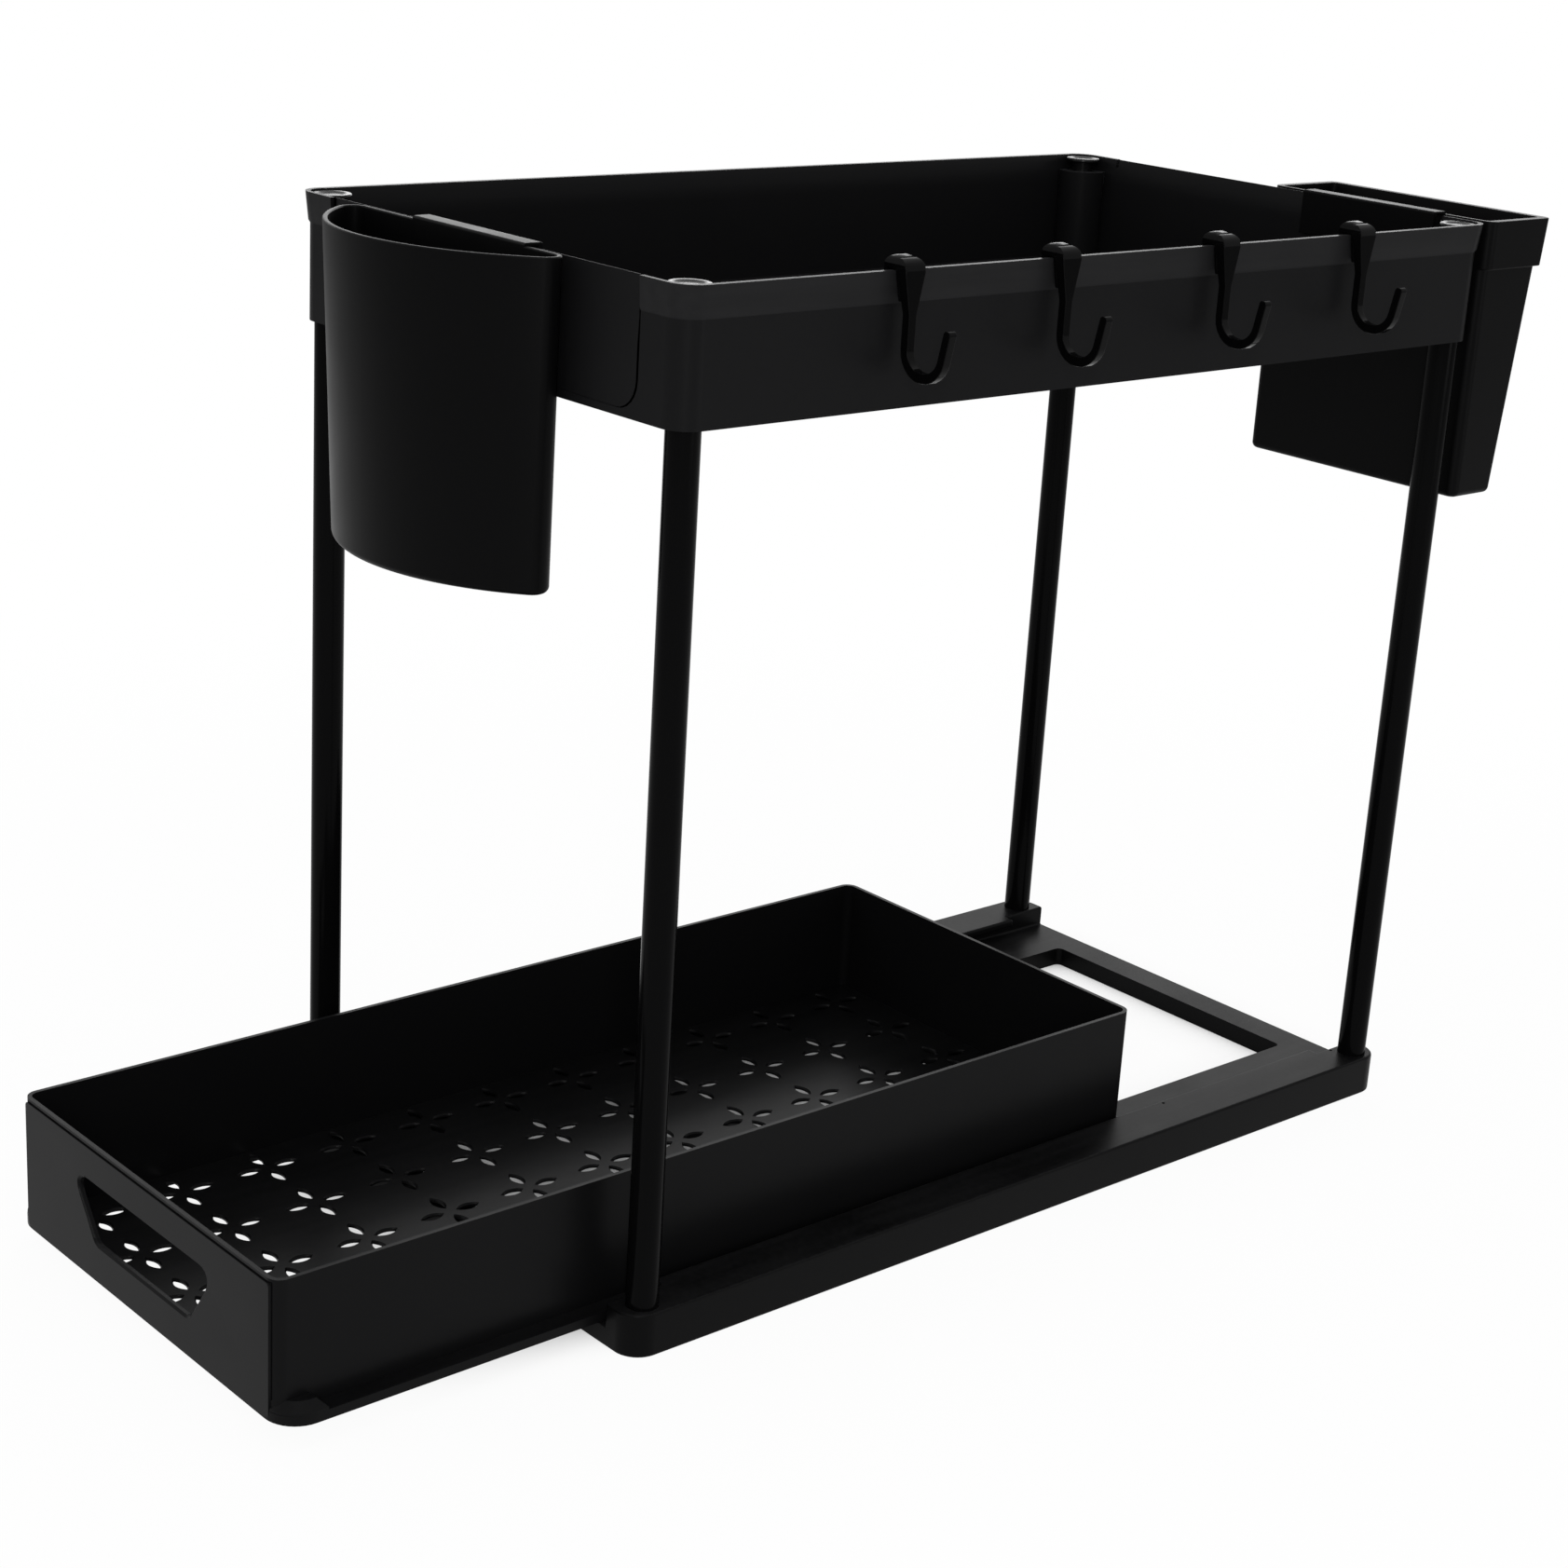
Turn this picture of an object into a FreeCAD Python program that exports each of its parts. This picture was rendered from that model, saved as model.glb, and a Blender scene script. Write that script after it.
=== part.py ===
import FreeCAD, Part
import math
import os

import Sketcher
from FreeCAD import Vector

# Under sink organizer: a base frame with a pull-out drawer, four tube posts, an upper tray,
# two hanging cups and four hooks. Millimetres, +Z up. The drawer pulls out towards -Y, and
# the hooks hang on the +X side. The origin is the middle of the underside of the base's
# front cross bar, and the drawer stands partly pulled out.

DIMENSIONS = {
    # Base frame: flat ring with two cross bars, side rails and lips over the drawer's flanges
    "base_width": 217.2,
    "base_length": 404.0,
    "base_corner": 10.0,
    "plate_thickness": 8.0,
    "rail_width": 15.5,
    "rail_height": 16.5,
    "rail_edge": 1.0,
    "lip_reach": 4.4,
    "lip_thickness": 3.7,
    "lip_length": 356.0,
    "window_width": 133.0,
    "window_count": 3,
    "window_corner": 2.5,
    "end_bar": 15.0,
    "cross_bar": 20.0,
    # Posts: round tubes between a blind socket in the base and a bore in the tray
    "post_spacing_x": 200.8,
    "post_spacing_y": 383.8,
    "post_diameter": 11.6,
    "post_wall": 1.0,
    "socket_diameter": 11.8,
    "socket_floor": 3.0,
    # Upper tray: tub with a flared band under the rim and a column round each post
    "tray_bottom": 321.5,
    "tray_width": 216.4,
    "tray_length": 399.8,
    "tray_height": 45.5,
    "tray_corner": 9.0,
    "tray_wall": 2.0,
    "tray_floor": 2.2,
    "band_height": 11.0,
    "band_flare_x": 1.6,
    "band_flare_y": 1.1,
    "inner_flare": 1.4,
    "column_diameter": 20.0,
    "column_top": 39.5,
    "column_shoulder": 4.0,
    "cap_hole_diameter": 8.0,
    "cap_seat_gap": 0.2,
    "recess_width": 174.0,
    "recess_depth": 0.4,
    "recess_bottom": 2.5,
    "recess_corner": 10.0,
    # Caps: dished button, neck and spigot
    "cap_diameter": 14.4,
    "cap_thickness": 1.6,
    "cap_rim": 1.5,
    "cap_dish": 0.6,
    "cap_neck_diameter": 9.4,
    "cap_neck_height": 3.8,
    "cap_spigot_diameter": 7.8,
    "cap_spigot_length": 11.0,
    # Drawer: open box with side flanges, stop feet, a raised front panel and a hand hole
    "slide_gap": 0.4,
    "drawer_out": 130.6,
    "drawer_width": 168.4,
    "drawer_length": 394.6,
    "drawer_height": 50.5,
    "drawer_wall": 1.6,
    "drawer_floor": 1.3,
    "floor_lift": 2.3,
    "drawer_corner": 5.0,
    "flange_width": 182.0,
    "flange_thickness": 3.5,
    "flange_corner": 12.0,
    "flange_back_corner": 4.0,
    "foot_length": 16.5,
    "foot_height": 7.4,
    "foot_inset": 21.0,
    "foot_slant": 3.0,
    "panel_width": 162.4,
    "panel_proud": 0.5,
    "panel_bottom": 1.1,
    "panel_top": 49.0,
    "panel_corner": 1.5,
    "hand_top_width": 94.4,
    "hand_bottom_width": 62.0,
    "hand_bottom": 14.3,
    "hand_top": 36.5,
    "hand_corner": 5.0,
    "flower_columns": 5,
    "flower_rows": 11,
    "flower_pitch_x": 34.0,
    "flower_pitch_y": 35.6,
    "petal_start": 3.0,
    "petal_end": 12.5,
    "petal_width": 4.2,
    # Both cups hang on the tray's end rims by a wide strap
    "cup_bottom": 257.5,
    "cup_height": 110.0,
    "cup_back": 201.6,
    "cup_wall": 1.8,
    "cup_floor": 2.2,
    "cup_foot_edge": 2.4,
    "strap_gap": 0.3,
    "strap_thickness": 1.2,
    "strap_leg_drop": 16.0,
    "strap_corner": 0.9,
    # Front cup: flat back and bowed front
    "front_cup_x": -7.5,
    "front_cup_width": 120.0,
    "front_cup_foot_width": 117.4,
    "front_cup_depth": 39.8,
    "front_cup_foot_depth": 33.6,
    "front_cup_corner": 6.0,
    "front_strap_width": 63.5,
    "front_strap_x": 6.2,
    # Back cup: box with a slanted far wall and a proud collar
    "back_cup_x": 54.0,
    "back_cup_width": 110.4,
    "back_cup_depth": 39.0,
    "back_cup_foot_depth": 25.0,
    "back_cup_near_corner": 4.0,
    "back_cup_far_corner": 3.0,
    "collar_height": 19.0,
    "collar_proud": 1.8,
    "back_strap_width": 66.0,
    "back_strap_x": -1.5,
    # Hooks: a clip over the side rim with a tapered strap that ends in an upturned tip
    "hook_gap": 0.3,
    "clip_width": 8.8,
    "clip_corner": 3.0,
    "clip_plate": 1.2,
    "clip_crown": 4.7,
    "clip_crown_radius": 3.4,
    "clip_reach": 3.9,
    "clip_inner_plate": 1.5,
    "clip_outer_drop": 10.0,
    "clip_inner_drop": 15.0,
    "clip_notch_radius": 0.4,
    "hook_strap_crown": 4.0,
    "hook_tip_width": 3.2,
    "hook_taper_top": 0.5,
    "hook_taper_bottom": 14.0,
    "hook_front": 5.2,
    "hook_rod": 3.2,
    "hook_drop": 34.6,
    "hook_bend": 6.5,
    "hook_tip_drop": 16.0,
    "hook_reach": 24.9,
    "hook_lean": 3.9,
    "hook_tip_corner": 1.4,
    # Where each hook hangs along the rim, from the tray's middle
    "hook_1_y": -111.0,
    "hook_2_y": -39.0,
    "hook_3_y": 42.0,
    "hook_4_y": 118.0,
    # How far a cut or a joined form runs past the face that it meets, and a revolve's angle
    "overlap": 1.0,
    "full_turn": 360.0,
}

HOOKS = ("hook_1", "hook_2", "hook_3", "hook_4")
SIDES = {"left": -1, "right": 1}
ENDS = {"front": -1, "back": 1}

# Distance from the origin, under the front bar, to the middle of the base
BASE_MIDDLE = "(dims.base_length - dims.end_bar) / 2"
RIM_TOP = "dims.tray_bottom + dims.tray_height"

# Sketcher's own numbers for its axes, its origin and the points of an element
HORIZONTAL_AXIS = -1
VERTICAL_AXIS = -2
SKETCH_ORIGIN = -1
START, END, CENTRE = 1, 2, 3
TINY = 1e-6

doc = FreeCAD.newDocument("under_sink_organizer")
dims = doc.addObject("Spreadsheet::Sheet", "dims")
for row, (alias, size) in enumerate(DIMENSIONS.items(), start=1):
    dims.set(f"A{row}", alias)
    dims.set(f"B{row}", str(size))
    dims.setAlias(f"B{row}", alias)
doc.recompute()

pieces = []
cuts = []


def value(expression):
    """Number that an expression of sheet cells gives."""
    return float(dims.evalExpression(expression))


def new_body(label, x="0", y="0", z="0"):
    """Body of one piece, placed in the organizer by sheet expressions."""
    body = doc.addObject("PartDesign::Body", label)
    body.Label = label
    for axis, expression in zip("xyz", (x, y, z)):
        body.setExpression(f"Placement.Base.{axis}", expression)
    pieces.append(body)
    return body


def sketch_on(body, name, role, offset="0"):
    """Sketch on one of the body's origin planes, moved along the plane's normal."""
    plane = next(feature for feature in body.Origin.OriginFeatures if feature.Role == role)
    sketch = body.newObject("Sketcher::SketchObject", f"{body.Name}_{name}")
    sketch.AttachmentSupport = (plane, [""])
    sketch.MapMode = "FlatFace"
    sketch.setExpression("AttachmentOffset.Base.z", offset)
    return sketch


def constrain(sketch, kind, *items, expression=None):
    """Constraint whose number, if it has one, follows a sheet expression."""
    if expression is None:
        sketch.addConstraint(Sketcher.Constraint(kind, *items))
        return
    index = sketch.addConstraint(Sketcher.Constraint(kind, *items, value(expression)))
    sketch.setExpression(f"Constraints[{index}]", expression)


def tie(sketch, kind, element, point, expression):
    """Hold one coordinate of a sketch point at what a sheet expression gives."""
    distance = value(expression)
    if abs(distance) < TINY:
        axis = VERTICAL_AXIS if kind == "DistanceX" else HORIZONTAL_AXIS
        constrain(sketch, "PointOnObject", element, point, axis)
    elif distance > 0:
        constrain(sketch, kind, SKETCH_ORIGIN, START, element, point, expression=expression)
    else:
        constrain(sketch, kind, element, point, SKETCH_ORIGIN, START,
                  expression=f"-({expression})")


def tie_point(sketch, element, point, x, y):
    """Hold a sketch point at the place that two sheet expressions give."""
    tie(sketch, "DistanceX", element, point, x)
    tie(sketch, "DistanceY", element, point, y)


def arc_between(centre, first, last):
    """Arc about a centre, anticlockwise from the first point to the last."""
    spokes = (first - centre, last - centre)
    angles = [math.atan2(spoke.y, spoke.x) for spoke in spokes]
    if angles[1] < angles[0]:
        angles[1] += 2 * math.pi
    circle_of_arc = Part.Circle(centre, Vector(0, 0, 1), spokes[0].Length)
    return Part.ArcOfCircle(circle_of_arc, *angles)


def outline(sketch, corners):
    """Closed outline through corners (x, y, radius), sharp where the radius is None."""
    count = len(corners)
    points = [Vector(value(x), value(y), 0) for x, y, _ in corners]
    entries, exits, arcs = [], [], {}
    for i, (_, _, radius) in enumerate(corners):
        back = (points[i - 1] - points[i]).normalize()
        ahead = (points[(i + 1) % count] - points[i]).normalize()
        size = value(radius) if radius else 0.0
        half_angle = back.getAngle(ahead) / 2
        entries.append(points[i] + back * (size / math.tan(half_angle)))
        exits.append(points[i] + ahead * (size / math.tan(half_angle)))
        if radius:
            centre = points[i] + (back + ahead).normalize() * (size / math.sin(half_angle))
            turns_left = ahead.cross(back).z > 0
            ends = (entries[i], exits[i]) if turns_left else (exits[i], entries[i])
            arcs[i] = (sketch.addGeometry(arc_between(centre, *ends)), turns_left)
    lines = []
    for i in range(count):
        segment = Part.LineSegment(exits[i], entries[(i + 1) % count])
        lines.append(sketch.addGeometry(segment))
    for i, (x, y, radius) in enumerate(corners):
        before, after = lines[i - 1], lines[i]
        if radius:
            arc, turns_left = arcs[i]
            first, last = (START, END) if turns_left else (END, START)
            constrain(sketch, "Tangent", before, END, arc, first)
            constrain(sketch, "Tangent", arc, last, after, START)
            constrain(sketch, "Radius", arc, expression=radius)
            corner = sketch.addGeometry(Part.Point(points[i]), True)
            constrain(sketch, "PointOnObject", corner, START, before)
            constrain(sketch, "PointOnObject", corner, START, after)
            tie_point(sketch, corner, START, x, y)
        else:
            constrain(sketch, "Coincident", before, END, after, START)
            tie_point(sketch, after, START, x, y)


def rectangle(sketch, low_x, high_x, low_y, high_y, radius=None, high_y_radius=None):
    """Rectangle between four expressions, its corners rounded by one radius or two."""
    far_radius = high_y_radius or radius
    outline(sketch, [
        (low_x, low_y, radius),
        (high_x, low_y, radius),
        (high_x, high_y, far_radius),
        (low_x, high_y, far_radius),
    ])


def centred_rectangle(sketch, width, length, radius=None):
    """Rectangle about the sketch's origin."""
    rectangle(sketch, f"-({width}) / 2", f"({width}) / 2", f"-({length}) / 2",
              f"({length}) / 2", radius)


def circle(sketch, x, y, radius):
    """Circle whose centre and radius follow the sheet."""
    centre = Vector(value(x), value(y), 0)
    index = sketch.addGeometry(Part.Circle(centre, Vector(0, 0, 1), value(radius)))
    tie_point(sketch, index, CENTRE, x, y)
    constrain(sketch, "Radius", index, expression=radius)


def post_circles(sketch, radius):
    """One circle on each of the four post axes."""
    for side in SIDES.values():
        for end in ENDS.values():
            circle(sketch, f"{side} * dims.post_spacing_x / 2", f"{end} * dims.post_spacing_y / 2",
                   radius)


def pad(body, sketch, length, symmetric=False):
    """Solid pulled from a sketch along its normal, or both ways from its plane."""
    feature = body.newObject("PartDesign::Pad", f"{sketch.Name}_pad")
    feature.Profile = sketch
    feature.SideType = "Symmetric" if symmetric else "One side"
    feature.setExpression("Length", length)
    return feature


def pocket(body, sketch, depth, along_normal=False):
    """Cut from a sketch against its normal, or along it."""
    feature = body.newObject("PartDesign::Pocket", f"{sketch.Name}_cut")
    feature.Profile = sketch
    feature.Reversed = along_normal
    feature.setExpression("Length", depth)
    cuts.append(feature)
    return feature


def loft(body, kind, first, last):
    """Straight-sided loft between two sketches, added to the body or cut from it."""
    feature = body.newObject(f"PartDesign::{kind}Loft", f"{first.Name}_loft")
    feature.Profile = first
    feature.Sections = [last]
    feature.Ruled = True
    if kind == "Subtractive":
        cuts.append(feature)
    return feature


def dress_edges(body, kind, name, size_name, size, chosen):
    """Fillet or chamfer on those edges of the body that a test on the edge picks out."""
    doc.recompute()
    base = body.Tip
    names = [f"Edge{i}" for i, edge in enumerate(base.Shape.Edges, start=1) if chosen(edge)]
    feature = body.newObject(f"PartDesign::{kind}", f"{body.Name}_{name}")
    feature.Base = (base, names)
    feature.setExpression(size_name, size)
    return feature


def near(number, expression):
    """Whether a measured number is the one that an expression gives."""
    return abs(number - value(expression)) < TINY


def flower(sketch, x, y):
    """Four pointed petals round a point, each of two arcs that meet at its tips."""
    length = "(dims.petal_end - dims.petal_start)"
    radius = f"({length}^2 / dims.petal_width + dims.petal_width) / 4"
    away = value(f"{radius} - dims.petal_width / 2")
    for along_x, along_y in ((1, 0), (0, 1), (-1, 0), (0, -1)):
        direction = Vector(along_x, along_y, 0)
        across = Vector(-along_y, along_x, 0)
        tips = []
        for reach in ("dims.petal_start", "dims.petal_end"):
            tips.append((f"({x}) + {along_x} * {reach}", f"({y}) + {along_y} * {reach}"))
        inner, outer = [Vector(value(tip_x), value(tip_y), 0) for tip_x, tip_y in tips]
        middle = (inner + outer) / 2
        right = sketch.addGeometry(arc_between(middle + across * away, inner, outer))
        left = sketch.addGeometry(arc_between(middle - across * away, outer, inner))
        constrain(sketch, "Coincident", right, END, left, START)
        constrain(sketch, "Coincident", left, END, right, START)
        for arc in (right, left):
            constrain(sketch, "Radius", arc, expression=radius)
        for point, (tip_x, tip_y) in zip((START, END), tips):
            tie_point(sketch, right, point, tip_x, tip_y)


def make_base_frame():
    """Ring plate with windows, raised side rails, inward lips and four blind sockets."""
    body = new_body("base_frame", y=BASE_MIDDLE)

    plate = sketch_on(body, "plate", "XY_Plane")
    centred_rectangle(plate, "dims.base_width", "dims.base_length", "dims.base_corner")
    pad(body, plate, "dims.plate_thickness")

    rails = sketch_on(body, "rails", "XY_Plane")
    lips = sketch_on(body, "lips", "XY_Plane", "dims.rail_height - dims.lip_thickness")
    for side in SIDES.values():
        outer = f"{side} * dims.base_width / 2"
        inner = f"{side} * (dims.base_width / 2 - dims.rail_width)"
        edge = f"{side} * (dims.base_width / 2 - dims.rail_width - dims.lip_reach)"
        root = f"{inner} + {side} * dims.overlap"
        outline(rails, [
            (inner, "-dims.base_length / 2", None),
            (outer, "-dims.base_length / 2", "dims.base_corner"),
            (outer, "dims.base_length / 2", "dims.base_corner"),
            (inner, "dims.base_length / 2", None),
        ])
        rectangle(lips, edge, root, "-dims.lip_length / 2", "dims.lip_length / 2")
    pad(body, rails, "dims.rail_height")
    pad(body, lips, "dims.lip_thickness")

    windows = sketch_on(body, "windows", "XY_Plane", "dims.plate_thickness")
    length = ("((dims.base_length - 2 * dims.end_bar + dims.cross_bar) / dims.window_count"
              " - dims.cross_bar)")
    for place in range(int(value("dims.window_count"))):
        middle = f"({place} - (dims.window_count - 1) / 2) * ({length} + dims.cross_bar)"
        rectangle(windows, "-dims.window_width / 2", "dims.window_width / 2",
                  f"{middle} - {length} / 2", f"{middle} + {length} / 2", "dims.window_corner")
    pocket(body, windows, "dims.plate_thickness")

    sockets = sketch_on(body, "sockets", "XY_Plane", "dims.rail_height")
    post_circles(sockets, "dims.socket_diameter / 2")
    pocket(body, sockets, "dims.rail_height - dims.socket_floor")

    def is_rail_outline(edge):
        box = edge.BoundBox
        on_top = near(box.ZMin, "dims.rail_height") and near(box.ZMax, "dims.rail_height")
        at_side = near(max(abs(box.XMin), abs(box.XMax)), "dims.base_width / 2")
        at_end = near(max(abs(box.YMin), abs(box.YMax)), "dims.base_length / 2")
        return on_top and (at_side or at_end)

    dress_edges(body, "Fillet", "rail_edges", "Radius", "dims.rail_edge", is_rail_outline)


def make_drawer():
    """Open box on side flanges, with stop feet, a front panel, a hand hole and a petal floor."""
    body = new_body("slide_drawer", y=f"{BASE_MIDDLE} - dims.drawer_out",
                    z="dims.plate_thickness + dims.slide_gap")
    front = "-dims.drawer_length / 2"
    back = "dims.drawer_length / 2"
    box_front = f"({front} + dims.panel_proud)"
    half_width = "dims.drawer_width / 2"
    half_flange = "dims.flange_width / 2"

    flange = sketch_on(body, "flange", "XY_Plane")
    rectangle(flange, f"-{half_flange}", half_flange, front, back, "dims.flange_corner",
              "dims.flange_back_corner")
    pad(body, flange, "dims.flange_thickness")

    feet = sketch_on(body, "feet", "XY_Plane")
    for side in SIDES.values():
        outline(feet, [
            (f"{side} * ({half_flange} - dims.foot_inset)", front, None),
            (f"{side} * {half_flange}", front, "dims.flange_corner"),
            (f"{side} * {half_flange}", f"{front} + dims.foot_length", None),
            (f"{side} * ({half_flange} - dims.foot_inset)", f"{front} + dims.foot_length", None),
        ])
    pad(body, feet, "dims.foot_height")

    def is_foot_top(edge):
        box = edge.BoundBox
        on_top = near(box.ZMin, "dims.foot_height") and near(box.ZMax, "dims.foot_height")
        reach = max(abs(box.XMin), abs(box.XMax))
        return on_top and not near(reach, f"{half_flange} - dims.foot_inset")

    dress_edges(body, "Chamfer", "foot_tops", "Size", "dims.foot_slant", is_foot_top)

    walls = sketch_on(body, "walls", "XY_Plane")
    rectangle(walls, f"-{half_width}", half_width, box_front, back, "dims.drawer_corner")
    pad(body, walls, "dims.drawer_height")

    panel = sketch_on(body, "panel", "XZ_Plane", f"-{box_front}")
    rectangle(panel, "-dims.panel_width / 2", "dims.panel_width / 2", "dims.panel_bottom",
              "dims.panel_top", "dims.panel_corner")
    pad(body, panel, "dims.panel_proud")

    inside = sketch_on(body, "inside", "XY_Plane", "dims.drawer_height")
    rectangle(inside, f"-({half_width} - dims.drawer_wall)", f"{half_width} - dims.drawer_wall",
              f"{box_front} + dims.drawer_wall", f"{back} - dims.drawer_wall",
              "dims.drawer_corner - dims.drawer_wall")
    pocket(body, inside, "dims.drawer_height - dims.floor_lift - dims.drawer_floor")

    underside = sketch_on(body, "underside", "XY_Plane")
    rectangle(underside, f"-({half_width} - 2 * dims.drawer_wall)",
              f"{half_width} - 2 * dims.drawer_wall", f"{box_front} + 2 * dims.drawer_wall",
              f"{back} - 2 * dims.drawer_wall", "dims.drawer_corner - dims.drawer_wall")
    pocket(body, underside, "dims.floor_lift", along_normal=True)

    hand_hole = sketch_on(body, "hand_hole", "XZ_Plane", f"-({front}) + dims.overlap")
    outline(hand_hole, [
        ("-dims.hand_bottom_width / 2", "dims.hand_bottom", "dims.hand_corner"),
        ("dims.hand_bottom_width / 2", "dims.hand_bottom", "dims.hand_corner"),
        ("dims.hand_top_width / 2", "dims.hand_top", "dims.hand_corner"),
        ("-dims.hand_top_width / 2", "dims.hand_top", "dims.hand_corner"),
    ])
    pocket(body, hand_hole, "dims.panel_proud + dims.drawer_wall + 2 * dims.overlap")

    petals = sketch_on(body, "petals", "XY_Plane", "dims.floor_lift")
    flower(petals, "-(dims.flower_columns - 1) / 2 * dims.flower_pitch_x",
           "-(dims.flower_rows - 1) / 2 * dims.flower_pitch_y")
    first_flower = pocket(body, petals, "dims.drawer_floor", along_normal=True)
    floor = body.newObject("PartDesign::LinearPattern", "floor_flowers")
    floor.Originals = [first_flower]
    floor.Direction = (petals, ["H_Axis"])
    floor.Direction2 = (petals, ["V_Axis"])
    floor.Mode = "Spacing"
    floor.Mode2 = "Spacing"
    floor.setExpression("Offset", "dims.flower_pitch_x")
    floor.setExpression("Offset2", "dims.flower_pitch_y")
    floor.setExpression("Occurrences", "dims.flower_columns")
    floor.setExpression("Occurrences2", "dims.flower_rows")
    body.Tip = floor


def tub_outline(sketch, half_x, half_y, radius):
    """Inside of the tray: straight walls that give way to a round column at each post."""
    post_x, post_y = "dims.post_spacing_x / 2", "dims.post_spacing_y / 2"
    reach_x = math.sqrt(value(f"({radius})^2 - ({half_y} - {post_y})^2"))
    reach_y = math.sqrt(value(f"({radius})^2 - ({half_x} - {post_x})^2"))
    corners = ((1, -1), (1, 1), (-1, 1), (-1, -1))
    arcs, firsts, lasts = [], [], []
    for i, (side, end) in enumerate(corners):
        centre = Vector(side * value(post_x), end * value(post_y), 0)
        on_side = Vector(side * value(half_x), end * (value(post_y) - reach_y), 0)
        on_end = Vector(side * (value(post_x) - reach_x), end * value(half_y), 0)
        first, last = (on_end, on_side) if i % 2 == 0 else (on_side, on_end)
        arc = sketch.addGeometry(arc_between(centre, last, first))
        tie_point(sketch, arc, CENTRE, f"{side} * {post_x}", f"{end} * {post_y}")
        constrain(sketch, "Radius", arc, expression=radius)
        arcs.append(arc)
        firsts.append(first)
        lasts.append(last)
    for i, (side, end) in enumerate(corners):
        following = (i + 1) % len(corners)
        line = sketch.addGeometry(Part.LineSegment(lasts[i], firsts[following]))
        constrain(sketch, "Coincident", line, START, arcs[i], START)
        constrain(sketch, "Coincident", line, END, arcs[following], END)
        if i % 2 == 0:
            constrain(sketch, "Vertical", line)
            tie(sketch, "DistanceX", line, START, f"{side} * {half_x}")
        else:
            constrain(sketch, "Horizontal", line)
            tie(sketch, "DistanceY", line, START, f"{end} * {half_y}")


def make_tray():
    """Tub with a flared band under its rim, columns over the posts and recessed ends."""
    body = new_body("upper_tray", y=BASE_MIDDLE, z="dims.tray_bottom")
    band_bottom = "dims.tray_height - dims.band_height"
    half_length = "dims.tray_length / 2"

    wall = sketch_on(body, "wall", "XY_Plane")
    centred_rectangle(wall, "dims.tray_width", "dims.tray_length", "dims.tray_corner")
    pad(body, wall, band_bottom)

    band_low = sketch_on(body, "band_low", "XY_Plane", band_bottom)
    centred_rectangle(band_low, "dims.tray_width", "dims.tray_length", "dims.tray_corner")
    band_high = sketch_on(body, "band_high", "XY_Plane", "dims.tray_height")
    centred_rectangle(band_high, "dims.tray_width + 2 * dims.band_flare_x",
                      "dims.tray_length + 2 * dims.band_flare_y",
                      "dims.tray_corner + dims.band_flare_x")
    loft(body, "Additive", band_low, band_high)

    inner_width = "dims.tray_width - 2 * dims.tray_wall"
    inner_length = "dims.tray_length - 2 * dims.tray_wall"
    mouth_low = sketch_on(body, "mouth_low", "XY_Plane", "dims.column_top")
    centred_rectangle(mouth_low, inner_width, inner_length, "dims.tray_corner - dims.tray_wall")
    mouth_high = sketch_on(body, "mouth_high", "XY_Plane", "dims.tray_height")
    centred_rectangle(mouth_high, f"{inner_width} + 2 * dims.inner_flare", inner_length,
                      "dims.tray_corner - dims.tray_wall")
    loft(body, "Subtractive", mouth_low, mouth_high)

    tub = sketch_on(body, "tub", "XY_Plane", "dims.column_top")
    tub_outline(tub, f"({inner_width}) / 2", f"({inner_length}) / 2", "dims.column_diameter / 2")
    pocket(body, tub, "dims.column_top - dims.tray_floor")

    bores = sketch_on(body, "bores", "XY_Plane")
    post_circles(bores, "dims.socket_diameter / 2")
    pocket(body, bores, "dims.column_top - dims.column_shoulder", along_normal=True)

    cap_holes = sketch_on(body, "cap_holes", "XY_Plane", "dims.column_top")
    post_circles(cap_holes, "dims.cap_hole_diameter / 2")
    pocket(body, cap_holes, "dims.column_shoulder")

    cap_seats = sketch_on(body, "cap_seats", "XY_Plane", "dims.tray_height")
    post_circles(cap_seats, "dims.cap_diameter / 2 + dims.cap_seat_gap")
    pocket(body, cap_seats, "dims.tray_height - dims.column_top - dims.cap_neck_height"
                            " + dims.cap_seat_gap")

    for name, end in ENDS.items():
        offset = f"{-end} * ({half_length} + dims.band_flare_y)"
        recess = sketch_on(body, f"{name}_recess", "XZ_Plane", offset)
        outline(recess, [
            ("-dims.recess_width / 2", "dims.recess_bottom", "dims.recess_corner"),
            ("dims.recess_width / 2", "dims.recess_bottom", "dims.recess_corner"),
            ("dims.recess_width / 2", "dims.tray_height + dims.overlap", None),
            ("-dims.recess_width / 2", "dims.tray_height + dims.overlap", None),
        ])
        pocket(body, recess, "dims.band_flare_y + dims.recess_depth", along_normal=end > 0)


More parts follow.
